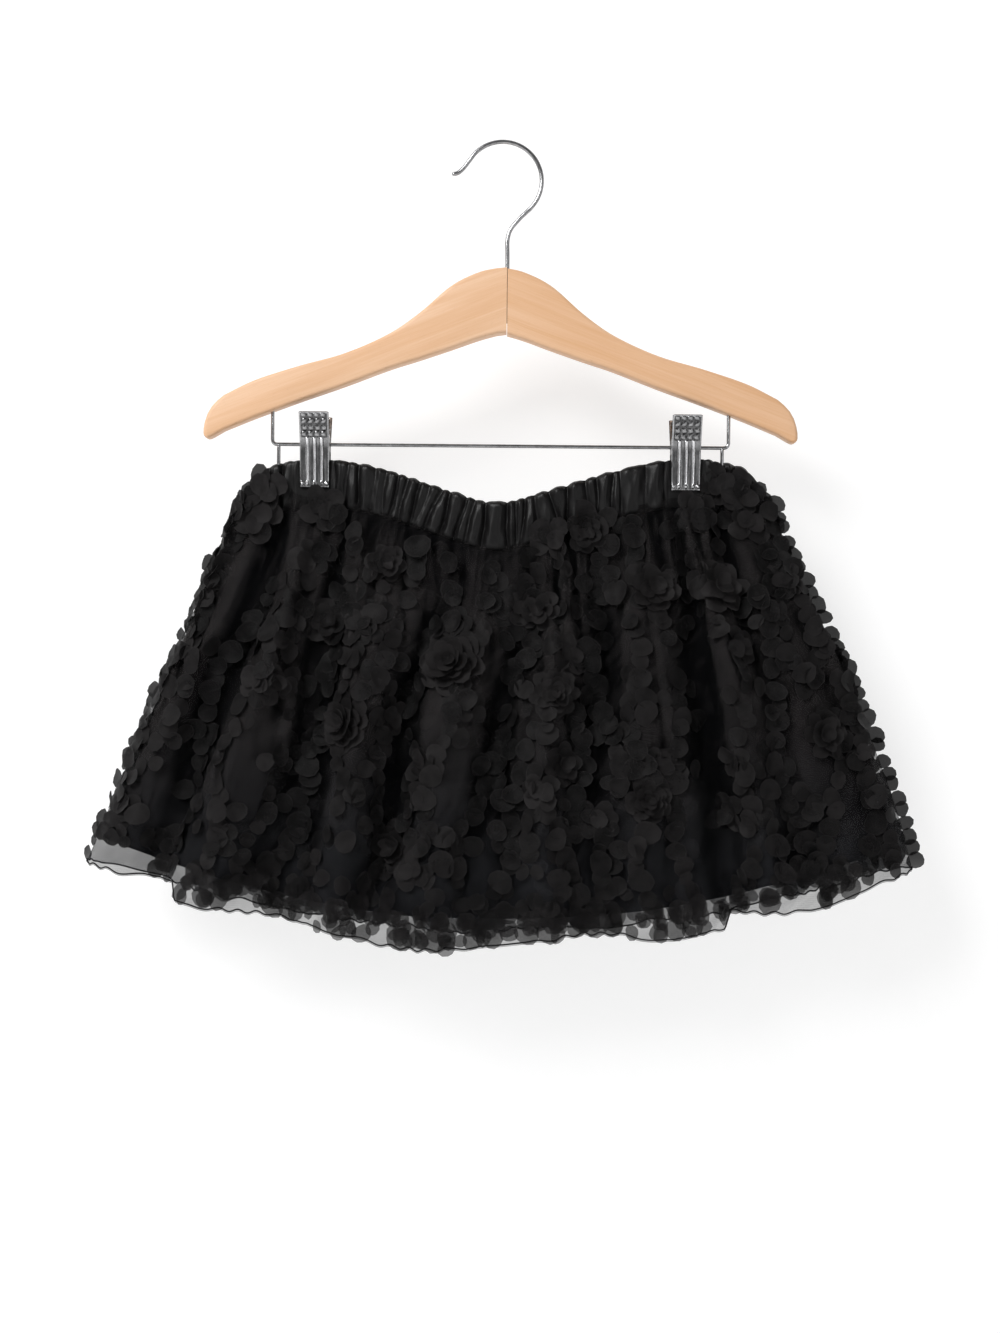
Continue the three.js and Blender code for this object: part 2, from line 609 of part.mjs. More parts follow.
function clipPlate(side, clipX) {
  const half = CLIP_SHEET / 2;
  let plate = solid(plateStrip(PLATE_LINE, -half, half, CLIP_WIDTH, 0));
  const ribRows = PLATE_LINE.slice(PLATE_RIB.from, PLATE_RIB.to + 1);
  for (let i = 0; i < PLATE_RIB.count; i++) {
    const x = (i - (PLATE_RIB.count - 1) / 2) * (CLIP_WIDTH / (PLATE_RIB.count + 1));
    plate = plate.add(solid(plateStrip(ribRows, 0, half + PLATE_RIB.proud, PLATE_RIB.width, x)));
  }
  const plateOff = (z) => follow([...PLATE_LINE].reverse(), "z", "off", z);
  for (const end of [-1, 1]) {
    const ear = new THREE.Shape();
    ear.moveTo(plateOff(EAR.top), EAR.top);
    ear.lineTo(EAR.reach, BAR_Z + 2.4);
    ear.lineTo(EAR.reach, BAR_Z - 2.4);
    ear.lineTo(plateOff(EAR.bottom), EAR.bottom);
    ear.closePath();
    const body = new THREE.ExtrudeGeometry(ear, { depth: EAR.thick, bevelEnabled: false });
    body.rotateX(Math.PI / 2);
    body.rotateZ(Math.PI / 2);
    const x = (end * (CLIP_WIDTH - EAR.thick)) / 2;
    plate = plate.add(solid(body.translate(x - EAR.thick / 2, 0, 0)));
  }
  const geometry = geometryOf(plate);
  if (side < 0) geometry.rotateZ(Math.PI);
  return geometry.translate(clipX, 0, 0);
}

// The coil that closes a clip, round the bar between its ears
function clipSpring(clipX) {
  const outer = PLATE_LINE[2].off - CLIP_SHEET / 2 - GAP - 0.2;
  const inner = outer - 1.1;
  const half = 4.5;
  const profile = [
    new THREE.Vector2(inner, -half),
    new THREE.Vector2(outer, -half),
    new THREE.Vector2(outer, half),
    new THREE.Vector2(inner, half),
    new THREE.Vector2(inner, -half),
  ];
  const coil = new THREE.LatheGeometry(profile, 14);
  return coil.rotateZ(Math.PI / 2).translate(clipX, 0, BAR_Z);
}

const finish = (color, roughness, metalness) =>
  new THREE.MeshStandardMaterial({ color, roughness, metalness });
const beech = finish(0xe6bd92, 0.5, 0);
const steel = finish(0xa9aaac, 0.25, 1);
const satin = finish(0x191819, 0.45, 0);
const net = finish(0x141314, 0.85, 0);
const liningCloth = finish(0x0f0f11, 0.6, 0);

const skirtOnHanger = new THREE.Group();
const add = (name, geometry, material) => {
  const mesh = new THREE.Mesh(geometry, material);
  mesh.name = name;
  skirtOnHanger.add(mesh);
};

add("hook", hookWire(), steel);
add("hanger_arm_left", hangerArm(-1), beech);
add("hanger_arm_right", hangerArm(1), beech);
add("clip_bar", clipBar(), steel);
for (const [name, x] of [
  ["clip_left", -CLIP_X],
  ["clip_right", CLIP_X],
]) {
  add(`${name}_front`, clipPlate(-1, x), steel);
  add(`${name}_back`, clipPlate(1, x), steel);
  add(`${name}_spring`, clipSpring(x), steel);
}
add("waistband", waistbandRing(), satin);
add("tulle_front", panel(tullePoint, -1, TULLE_WALL, TULLE_FRONT_GRID, appliqueRaise), net);
add("tulle_back", panel(tullePoint, 1, TULLE_WALL, TULLE_BACK_GRID, appliqueRaise), net);
add("lining_front", panel(liningPoint, -1, LINING_WALL, LINING_GRID), liningCloth);
add("lining_back", panel(liningPoint, 1, LINING_WALL, LINING_GRID), liningCloth);

export default skirtOnHanger;
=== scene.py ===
import math

import bmesh
import bpy
import numpy as np
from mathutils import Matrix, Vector


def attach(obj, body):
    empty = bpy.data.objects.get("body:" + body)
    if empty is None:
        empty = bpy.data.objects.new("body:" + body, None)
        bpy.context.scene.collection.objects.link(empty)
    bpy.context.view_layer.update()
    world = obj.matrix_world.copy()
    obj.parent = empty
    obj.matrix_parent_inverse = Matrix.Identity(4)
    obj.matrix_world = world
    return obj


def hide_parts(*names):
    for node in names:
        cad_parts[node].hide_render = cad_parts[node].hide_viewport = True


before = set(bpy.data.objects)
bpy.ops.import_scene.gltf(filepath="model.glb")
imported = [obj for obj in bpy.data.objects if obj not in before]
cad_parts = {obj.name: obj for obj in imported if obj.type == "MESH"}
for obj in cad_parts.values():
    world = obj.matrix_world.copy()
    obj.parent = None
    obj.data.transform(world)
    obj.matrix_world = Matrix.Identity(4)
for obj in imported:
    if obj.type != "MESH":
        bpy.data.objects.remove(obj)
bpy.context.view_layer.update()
MM = 0.001
chance = np.random.default_rng(11)

# Sizes shared with the solids
BAND_HEIGHT = 26
LEAN_BACK = 5.6
CLEAR_OF_LINING = 2.4
LENS_FLAT = 0.55
LINING_SHORTER = 13
LINING_NARROWER = 4
LINING_TUCK = 2  # how far the lining runs up inside the satin
NET_OVER_BAND = 4.2
NET_TUCK = 2.6  # how deep the net is drawn in along its seam
NET_SEAM, LINING_SEAM = 0.04, 0.03  # distance of the side seams from the middle plane
HANGER_THICK = 11
HANGER_JOINT_X = 2.9
HANGER_JOINT_GAP = 0.3
ARM_ROUNDING = 1.9
HOOK_WIRE = 2.4
HOOK_RADIUS = 21.1
BAR_WIRE = 2
BAR_Z = -163.3
BAR_LEG_X = 123.2
BAR_LEG_TOP_Z = -139
BAR_BEND = 2.8
FINGER_X = 119.8
FINGER_END_Z = -174.8
CLIP_X = 100
CLIP_TOP_Z = -147.2
CLIP_LOW_Z = -186.6
FRONT, BACK = -1, 1
SIDES = {"front": FRONT, "back": BACK}

# Waves of the cloth: how many cross a panel, and how far they stand out
GATHERS, GATHER_HEIGHT = 24, 1.9
FINE_GATHERS, FINE_GATHER_HEIGHT = 57, 0.9
RIPPLES, RIPPLE_HEIGHT = 13, 1.4
RUFFLES, RUFFLE_HEIGHT = 17, 1.8
FRILLS, FRILL_HEIGHT = 43, 1.5
HEM_WAVES, HEM_WAVE_HEIGHT = 26, 0.8
LINING_RIPPLES, LINING_RIPPLE_HEIGHT = 8, 0.7

# Hanger arm edges. Columns: distance from the middle, top, under
ARM_EDGES = np.array([
    (0, -67.4, -102.6),
    (12, -70, -106),
    (27, -77.5, -111.4),
    (44, -92.2, -117.2),
    (60, -103.4, -122.4),
    (84, -114.3, -131.6),
    (109, -121.5, -140.5),
    (133, -129.5, -149.6),
    (149, -137.4, -156.2),
])

# The arm's rounded tip, from its top edge to its under edge. Columns: distance, z
ARM_TIP = [
    (152.6, -140.4),
    (155.6, -143.6),
    (157.9, -147.6),
    (159.3, -151.8),
    (159.95, -155.4),
    (160, -158.2),
    (159.7, -159.4),
    (158.95, -160.3),
    (157.9, -160.7),
    (156.6, -160.5),
    (154.8, -159.6),
]

# Waist line. Columns: x, top of the band, how far the net laps up over the band
WAIST_LINE = np.array([
    (-135, -185, 24),
    (-127, -176.6, 23),
    (-119, -173.6, 21.5),
    (-110, -172.2, 8),
    (-88, -172, 5),
    (-62, -177, 2.5),
    (-30, -187.4, 2),
    (-2, -194.4, 2),
    (27, -187.4, 2),
    (58, -177.8, 4),
    (88, -170.8, 5),
    (110, -169.6, 8),
    (119, -170.8, 23),
    (133, -174.6, 24),
    (141, -184, 24),
])
BAND_TOP, LAP = 1, 2
BAND_LEFT, BAND_RIGHT = WAIST_LINE[0, 0], WAIST_LINE[-1, 0]

# Half depth of the waist. Columns: x, depth
WAIST_DEPTH = np.array([
    (-135, 2.8),
    (-119, 2.6),
    (-109, 1.35),
    (-100, 1.35),
    (-91, 1.35),
    (-83, 1.9),
    (-50, 4.6),
    (0, 7.2),
    (50, 4.6),
    (83, 1.9),
    (91, 1.35),
    (100, 1.35),
    (109, 1.35),
    (119, 2.6),
    (141, 2.8),
])

# Skirt sections. Columns: down, left, right, depth in front, depth behind, depth of the lining
SECTIONS = np.array([
    (0, -138.5, 144, 9, 9, 6),
    (0.15, -150, 155, 14, 13, 7.5),
    (0.35, -167, 175, 20, 18, 10),
    (0.6, -188, 197, 26, 23.5, 13),
    (0.85, -209, 216, 32, 28, 15.5),
    (1, -221, 224, 34.5, 30, 16.5),
])
LEFT, RIGHT, LINING_DEPTH = 1, 2, 5
NET_DEPTH = {FRONT: 3, BACK: 4}

# Net hem. Columns: x, z
HEM = {}
HEM[FRONT] = np.array([
    (-221, -389.5),
    (-180, -398),
    (-171, -399),
    (-170.6, -399.5),
    (-169.8, -408.3),
    (-169.4, -408.8),
    (-121, -415.5),
    (-50, -430),
    (0, -429),
    (50, -422.5),
    (90, -424.5),
    (121, -421),
    (121.6, -420.4),
    (124.4, -413.2),
    (125, -412.6),
    (173, -408),
    (192, -400),
    (224, -390),
])
HEM[BACK] = np.array([
    (-221, -389.5),
    (-150, -411),
    (-92, -423),
    (-40, -429),
    (45, -428),
    (105, -421),
    (160, -408.5),
    (224, -390),
])

# Large folds. Columns: x at the waist, x at the hem, how far it stands out, half width at the
# waist and at the hem, and how far down it dies out
FOLDS = {}
FOLDS[FRONT] = [
    (-122, -203, 4, 7, 13, 2),
    (-108, -183, -14, 6, 10, 2),
    (-97, -161, 10, 7, 13, 2),
    (-80, -113, -13, 7, 15, 2),
    (-58, -86, 8, 10, 15, 2),
    (-25, -70, -12, 5, 9, 1.1),
    (-8, -42, 8, 11, 20, 2),
    (12, -6, -9, 6, 10, 0.75),
    (30, 22, 6, 9, 16, 2),
    (54, 50, -9, 6, 11, 0.7),
    (70, 84, 7, 9, 17, 2),
    (94, 127, -15, 5, 9.5, 2),
    (103, 152, 11, 6, 12, 2),
    (122, 190, 4, 8, 14, 2),
]
FOLDS[BACK] = [
    (-114, -186, 6, 7, 13, 2),
    (-98, -154, -9, 6, 12, 2),
    (-78, -124, 8, 8, 15, 2),
    (-52, -88, -9, 7, 11, 0.85),
    (-30, -54, 7, 9, 17, 2),
    (-8, -18, -8, 6, 11, 2),
    (16, 18, 7, 9, 16, 2),
    (38, 54, -9, 6, 10, 0.8),
    (60, 86, 8, 8, 16, 2),
    (84, 122, -9, 6, 11, 2),
    (98, 150, 7, 7, 13, 2),
    (120, 188, -5, 7, 11, 2),
]

FOLD_ROUND, CREASE_ROUND = 1.7, 1.35  # 2 is a round crest and 1 a sharp one

# Small creases of the net. Columns: x at the waist, x at the hem, where it starts and ends down
# the skirt, how far it stands out, half width
CREASES = {}
CREASES[FRONT] = [
    (-116, -196, 0.05, 0.75, 2.2, 3.2),
    (-104, -172, 0.02, 0.95, 3.2, 3.0),
    (-91, -146, 0.04, 0.6, -2.4, 2.6),
    (-86, -130, 0.1, 0.85, 2.2, 3.4),
    (-70, -104, 0.02, 0.5, 2.4, 2.8),
    (-63, -92, 0.05, 0.42, -2.2, 2.4),
    (-47, -76, 0.02, 0.55, 2.0, 3.0),
    (-35, -60, 0.03, 0.7, 2.4, 2.6),
    (-17, -48, 0.02, 0.35, -2.0, 2.4),
    (-2, -30, 0.05, 0.8, 1.8, 3.2),
    (7, -12, 0.02, 0.45, 2.2, 2.4),
    (21, 10, 0.03, 0.6, -1.9, 2.8),
    (37, 34, 0.02, 0.9, 2.2, 3.0),
    (46, 44, 0.05, 0.4, 2.0, 2.4),
    (62, 66, 0.03, 0.66, -2.0, 2.6),
    (79, 100, 0.02, 0.85, 2.2, 3.0),
    (87, 115, 0.04, 0.55, 2.5, 2.6),
    (99, 140, 0.02, 0.92, 3.0, 2.8),
    (111, 168, 0.06, 0.7, -2.0, 3.2),
    (128, 204, 0.1, 0.85, 1.9, 3.6),
]
CREASES[BACK] = [
    (-121, -200, 0.06, 0.8, 2.0, 3.4),
    (-106, -172, 0.02, 0.6, -2.1, 2.8),
    (-90, -140, 0.03, 0.9, 2.4, 3.0),
    (-70, -110, 0.02, 0.5, 2.2, 2.4),
    (-61, -97, 0.05, 0.75, -1.9, 2.8),
    (-42, -70, 0.02, 0.45, 2.1, 2.6),
    (-20, -38, 0.03, 0.85, 2.0, 3.0),
    (2, -4, 0.02, 0.55, -2.1, 2.4),
    (9, 8, 0.05, 0.7, 2.2, 2.8),
    (27, 34, 0.02, 0.4, 1.9, 2.6),
    (48, 68, 0.04, 0.8, -2.0, 3.0),
    (70, 102, 0.02, 0.6, 2.3, 2.6),
    (90, 136, 0.03, 0.9, 2.1, 3.2),
    (110, 170, 0.05, 0.5, -1.9, 2.8),
    (129, 205, 0.08, 0.85, 2.0, 3.4),
]

# Valleys between the gathers of the satin. Columns: x at its top edge, x at its lower edge, depth
VALLEYS = {}
VALLEYS[FRONT] = np.array([
    (-137, -139, 0.5),
    (-130, -131, 0.7),
    (-124.5, -125.5, 0.8),
    (-118, -119.5, 0.6),
    (-111, -111.5, 0.9),
    (-89.5, -89, 0.8),
    (-82, -83.5, 0.5),
    (-75.5, -77, 1.2),
    (-67, -69.5, 0.6),
    (-61, -64, 0.5),
    (-53.9, -59.7, 1.25),
    (-49.8, -54.6, 0.9),
    (-42.5, -49.2, 1.3),
    (-37.4, -45.6, 0.6),
    (-31, -41.5, 1.1),
    (-26, -32.4, 1.25),
    (-17.9, -24.3, 1.3),
    (-13, -19.5, 0.8),
    (-7.3, -9.8, 1.2),
    (3.5, 4.8, 1.25),
    (9.1, 8.4, 0.9),
    (13.2, 11.6, 1.2),
    (18.2, 23, 0.6),
    (26.3, 32.9, 0.9),
    (35.4, 37, 1.25),
    (45.9, 49.2, 0.7),
    (51.8, 52.4, 0.9),
    (60.7, 60, 0.8),
    (64.8, 64.8, 0.9),
    (77.8, 78.8, 0.7),
    (89, 88.5, 0.9),
    (110.5, 111, 0.9),
    (114.5, 116, 0.7),
    (120, 121, 0.9),
    (127, 128.5, 0.7),
    (134, 136, 0.7),
    (143, 145, 0.5),
])
VALLEYS[BACK] = np.array([
    (-137, -139, 0.5),
    (-131, -132, 0.7),
    (-125, -127, 0.9),
    (-117, -118, 0.7),
    (-111, -111, 0.9),
    (-89, -89, 0.9),
    (-80, -82, 0.7),
    (-73, -76, 1.2),
    (-67, -69, 0.8),
    (-59, -63, 1.1),
    (-53, -56, 0.6),
    (-46, -50, 1.2),
    (-38, -42, 1.0),
    (-33, -35, 0.7),
    (-25, -29, 1.2),
    (-18, -20, 0.8),
    (-11, -14, 1.2),
    (-5, -6, 0.7),
    (2, 2, 1.2),
    (8, 9, 0.7),
    (16, 18, 1.2),
    (22, 24, 0.8),
    (29, 33, 1.1),
    (37, 39, 0.7),
    (44, 48, 1.2),
    (52, 54, 0.9),
    (58, 62, 0.7),
    (66, 69, 1.2),
    (73, 75, 0.7),
    (81, 83, 0.9),
    (89, 89, 0.8),
    (111, 111, 0.9),
    (117, 118, 0.8),
    (124, 126, 0.9),
    (131, 133, 0.7),
    (143, 145, 0.5),
])

# Layered flowers. Columns: x, z, radius, kind
ROSE, OPEN, LOOSE = 0, 1, 2
FLOWERS = {}
FLOWERS[FRONT] = [
    (-25, -281, 18, ROSE),
    (-80, -313, 16, ROSE),
    (-54, -379, 14, ROSE),
    (83, -240, 14, OPEN),
    (117, -240, 16, OPEN),
    (30, -296, 13, ROSE),
    (22, -252, 12, OPEN),
    (46, -210, 12, OPEN),
    (-91, -259, 13, OPEN),
    (79, -352, 12, ROSE),
    (172, -318, 13, OPEN),
    (34, -334, 12, OPEN),
    (-60, -228, 11, OPEN),
    (-127, -188, 12, LOOSE),
    (-130, -204, 12, LOOSE),
    (-95, -198, 11, LOOSE),
    (119, -183, 11, LOOSE),
    (131, -188, 12, LOOSE),
    (134, -204, 12, LOOSE),
    (104, -198, 11, LOOSE),
    (50, -196, 12, LOOSE),
    (27, -212, 11, LOOSE),
]
FLOWERS[BACK] = [
    (22, -276, 18, ROSE),
    (84, -318, 16, ROSE),
    (48, -380, 14, ROSE),
    (-82, -246, 14, OPEN),
    (-118, -302, 15, OPEN),
    (-34, -322, 13, ROSE),
    (128, -256, 13, OPEN),
    (-150, -366, 13, ROSE),
    (-20, -232, 12, OPEN),
    (62, -228, 12, OPEN),
    (170, -352, 13, OPEN),
    (-127, -188, 9, LOOSE),
    (-116, -194, 8, LOOSE),
    (122, -185, 9, LOOSE),
    (132, -195, 9, LOOSE),
]

# The layers of a flower. Columns: petals, how far out, petal size, slope, height, cup
LAYERS = {
    ROSE: [
        (8, 0.68, 0.36, 0.06, 0.5, 0.10),
        (7, 0.50, 0.34, 0.20, 1.1, 0.16),
        (6, 0.33, 0.30, 0.42, 1.7, 0.24),
        (4, 0.17, 0.25, 0.75, 2.2, 0.34),
        (2, 0.05, 0.20, 0.60, 3.0, 0.40),
    ],
    OPEN: [
        (6, 0.60, 0.40, 0.12, 1.2, 0.14),
        (5, 0.36, 0.36, 0.32, 2.0, 0.20),
        (3, 0.12, 0.26, 0.5, 2.8, 0.30),
    ],
    LOOSE: [
        (4, 0.62, 0.5, 0.1, 0.7, 0.1),
        (2, 0.26, 0.44, 0.2, 1.5, 0.16),
    ],
}
SMALL_FLOWERS = 14  # on each panel
SMALL_RADIUS = 10

# Strands of single petals. Columns: place across the panel at the waist and at the hem, how far
# it wanders, its bends, its share of doubled petals, where it starts and ends
STRANDS = {}
STRANDS[FRONT] = [
    (0.032, 0.03, 0.008, 2.4, 0.3, 0.02, 0.92),
    (0.068, 0.07, 0.012, 1.6, 0.3, 0.05, 0.93),
    (0.135, 0.115, 0.014, 1.7, 0.2, 0.22, 1.0),
    (0.17, 0.155, 0.012, 2.6, 0.5, 0.1, 1.0),
    (0.21, 0.2, 0.016, 1.4, 0.4, 0.02, 1.0),
    (0.262, 0.24, 0.013, 2.2, 0.5, 0.06, 0.98),
    (0.3, 0.28, 0.012, 1.9, 0.5, 0.1, 1.0),
    (0.345, 0.325, 0.016, 1.3, 0.6, 0.03, 1.0),
    (0.39, 0.375, 0.014, 2.8, 0.4, 0.2, 1.0),
    (0.425, 0.41, 0.014, 1.6, 0.6, 0.05, 1.0),
    (0.47, 0.45, 0.016, 2.3, 0.4, 0.04, 1.0),
    (0.512, 0.495, 0.013, 2.7, 0.4, 0.14, 1.0),
    (0.55, 0.54, 0.014, 1.8, 0.6, 0.03, 1.0),
    (0.595, 0.58, 0.014, 2.5, 0.6, 0.05, 1.0),
    (0.64, 0.625, 0.015, 2.0, 0.6, 0.02, 1.0),
    (0.685, 0.665, 0.013, 2.9, 0.5, 0.12, 1.0),
    (0.73, 0.71, 0.015, 1.5, 0.4, 0.03, 1.0),
    (0.775, 0.75, 0.012, 2.0, 0.2, 0.05, 0.35),
    (0.79, 0.778, 0.012, 1.6, 0.1, 0.6, 0.97),
    (0.815, 0.8, 0.012, 2.4, 0.3, 0.1, 1.0),
    (0.855, 0.845, 0.015, 1.9, 0.5, 0.02, 1.0),
    (0.9, 0.89, 0.013, 2.3, 0.5, 0.02, 1.0),
    (0.94, 0.94, 0.01, 2.1, 0.5, 0.02, 1.0),
]
STRANDS[BACK] = [
    (0.035, 0.035, 0.01, 2.2, 0.4, 0.02, 0.88),
    (0.08, 0.085, 0.014, 1.6, 0.4, 0.04, 0.88),
    (0.13, 0.13, 0.013, 2.5, 0.4, 0.1, 0.93),
    (0.18, 0.175, 0.015, 1.8, 0.5, 0.03, 1.0),
    (0.225, 0.225, 0.014, 2.7, 0.4, 0.15, 1.0),
    (0.27, 0.27, 0.016, 1.5, 0.6, 0.02, 1.0),
    (0.32, 0.315, 0.015, 2.3, 0.5, 0.06, 1.0),
    (0.365, 0.36, 0.014, 2.0, 0.5, 0.03, 1.0),
    (0.41, 0.41, 0.014, 2.6, 0.4, 0.2, 1.0),
    (0.455, 0.455, 0.016, 1.7, 0.6, 0.04, 1.0),
    (0.5, 0.505, 0.014, 2.4, 0.5, 0.02, 1.0),
    (0.545, 0.55, 0.015, 1.9, 0.4, 0.08, 1.0),
    (0.59, 0.595, 0.013, 2.8, 0.5, 0.03, 1.0),
    (0.635, 0.64, 0.016, 1.6, 0.5, 0.15, 1.0),
    (0.685, 0.69, 0.014, 2.2, 0.4, 0.02, 1.0),
    (0.735, 0.735, 0.015, 2.0, 0.5, 0.05, 1.0),
    (0.785, 0.78, 0.014, 2.6, 0.4, 0.03, 1.0),
    (0.835, 0.83, 0.015, 1.8, 0.4, 0.1, 1.0),
    (0.88, 0.875, 0.013, 2.3, 0.5, 0.02, 1.0),
    (0.925, 0.925, 0.012, 2.1, 0.5, 0.04, 1.0),
    (0.965, 0.965, 0.008, 2.4, 0.3, 0.02, 1.0),
]
PETAL_SIZE = 5.3  # half of a petal's width
SMALLEST_PETAL, LARGEST_PETAL = 3.6, 6.8
PETAL_STEP = 6.9  # from one petal of a strand to the next
STRAND_LENGTH = 228
FIRST_PETAL = 0.012  # nearest a petal's middle comes to the waist
LAST_PETAL = 0.974  # nearest a petal's middle comes to the hem
SIDE_MARGIN = 0.022  # nearest a petal's middle comes to a side seam
# Rows of petals along the hem. Columns: place down the net, where the row starts and ends across,
# and the share of its places that are filled
HEM_ROWS = [
    (0.9, 0.04, 0.97, 0.85),
    (0.927, 0.05, 0.96, 0.85),
    (0.952, 0.15, 0.96, 0.85),
    (0.975, 0.15, 0.94, 0.85),
    (0.993, 0.28, 0.84, 0.35),
]
HEM_ROW_STEP = 0.024
BEHIND_NET = 0.16  # share of the petals sewn to the back of the net
UNDER_NET, OVER_NET = 0.35, 0.3  # least distance of a petal from the net on either face

# Between what ends the looks of single petals are drawn
FULL_TURN = (0, 2 * np.pi)
STRAND_LOOKS = {
    "spin": FULL_TURN,
    "slope": (0.0, 0.34),
    "lift": (0.3, 1.1),
    "cup": (-0.08, 0.24),
    "tone": (0.3, 0.8),
}
HEM_LOOKS = {
    "size": (3.4, 5.4),
    "spin": FULL_TURN,
    "slope": (0.0, 0.3),
    "lift": (0.3, 1.0),
    "cup": (-0.05, 0.2),
    "tone": (0.15, 0.8),
}

FLOWER_TWIST = 0.55  # from one layer of a flower to the next
# share of a flower petal's tone left where painted shade darkens a valley of the net
FLOWER_SHADE = 0.65
FLOWER_BED = 0.018  # how much of the net a flower lies on
EDGE_STEP = 0.034  # from one petal of an edge chain to the next
LEFT_SWING, RIGHT_SWING = 1.15, 0.0  # how far the petals of each chain turn out of the front

# Painted shade in the net's valleys, also laid on the petals sewn there. Columns: how far to each
# side it is compared with, and how far it lies behind or ahead of that in millimetres when the
# painted shade is darkest and when it is lightest
PAINTED_VALLEY_SHADES = [
    ((-0.055, -0.03, 0.03, 0.055), (-6, 3)),
    ((-0.013, 0.013), (-2.0, 0.1)),
]


def lerp(a, b, share):
    return a + (b - a) * share


def smoothstep(at, low, high):
    share = np.clip((at - low) / (high - low), 0, 1)
    return share * share * (3 - 2 * share)


def wave(turns, phase=0.0):
    return np.sin(2 * np.pi * turns + phase)


def unit(vectors):
    return vectors / np.linalg.norm(vectors, axis=-1, keepdims=True)


def follow(table, column, at):
    """A smooth line through one column of a table, read at values of its first column."""
    key = table[:, 0]
    value = table[:, column]
    last = len(key) - 1
    number = np.arange(last + 1)
    before = np.maximum(number - 1, 0)
    after = np.minimum(number + 1, last)
    slope = (value[after] - value[before]) / (key[after] - key[before])
    at = np.clip(at, key[0], key[-1])
    i = np.clip(np.searchsorted(key, at, side="right") - 1, 0, last - 1)
    span = key[i + 1] - key[i]
    s = (at - key[i]) / span
    start = (2 * s**3 - 3 * s**2 + 1) * value[i] + (s**3 - 2 * s**2 + s) * span * slope[i]
    end = (3 * s**2 - 2 * s**3) * value[i + 1] + (s**3 - s**2) * span * slope[i + 1]
    return start + end


def waist_top(x):
    return follow(WAIST_LINE, BAND_TOP, x)


def waist_depth(x):
    return follow(WAIST_DEPTH, 1, x)


def lean_back(x):
    return LEAN_BACK * smoothstep(np.abs(x), 109, 118)


def clip_free(x):
    return smoothstep(np.abs(np.abs(x) - CLIP_X), 8.5, 12)


def across_tube(v, corner_share, corner_width):
    """Across a flattened tube: -1 to 1, and how far the rounded side has risen there."""
    from_side = np.minimum(v, 1 - v)
    side = np.where(v < 0.5, -1.0, 1.0)
    flat = (v - corner_share) / (1 - 2 * corner_share)
    turn = np.clip(from_side / corner_share, 0, 1) * np.pi / 2
    rounded = side * (1 - corner_width * (1 - np.cos(turn)))
    inner = from_side >= corner_share
    across = np.where(inner, lerp(corner_width - 1, 1 - corner_width, flat), rounded)
    return across, np.where(inner, 1.0, np.sin(turn))


def upright(side, across):
    """Top edge, hem and flatness of one upright line of the skirt."""
    part = (across + 1) / 2
    top_x = lerp(SECTIONS[0, LEFT], SECTIONS[0, RIGHT], part)
    hem_x = lerp(SECTIONS[-1, LEFT], SECTIONS[-1, RIGHT], part)
    top_z = waist_top(top_x) - BAND_HEIGHT + follow(WAIST_LINE, LAP, top_x)
    hem_z = follow(HEM[side], 1, hem_x)
    return part, top_z, hem_z, 1 - LENS_FLAT * np.abs(across) ** 2.2


def lining_away(lens, x, down):
    deep = follow(SECTIONS, LINING_DEPTH, down) * lens
    return lerp(waist_depth(x), deep, smoothstep(down, 0.12, 0.45))


def lean(x, z):
    below = waist_top(x) - BAND_HEIGHT - z
    return lean_back(x) * (1 - smoothstep(below, 0, 90))


def fold_push(folds, x, down):
    push = np.zeros_like(x)
    grown = smoothstep(down, 0, 0.45)
    for waist, hem, out, narrow, wide, fades in folds:
        middle = lerp(waist, hem, down)
        middle = middle + 2.2 * wave(down * 1.7, waist) + 1.2 * wave(down * 4.1, hem)
        half = lerp(narrow, wide, down)
        alive = grown * (1 - smoothstep(down, fades - 0.3, fades))
        push = push + out * alive * np.exp(-(np.abs((x - middle) / half) ** FOLD_ROUND))
    return push


def crease_push(creases, x, down):
    push = np.zeros_like(x)
    for waist, hem, start, end, out, half in creases:
        middle = lerp(waist, hem, down) + 1.6 * wave(down * 1.3, waist)
        alive = smoothstep(down, start, start + 0.1) * (1 - smoothstep(down, end - 0.25, end))
        push = push + out * alive * np.exp(-(np.abs((x - middle) / half) ** CREASE_ROUND))
    return push


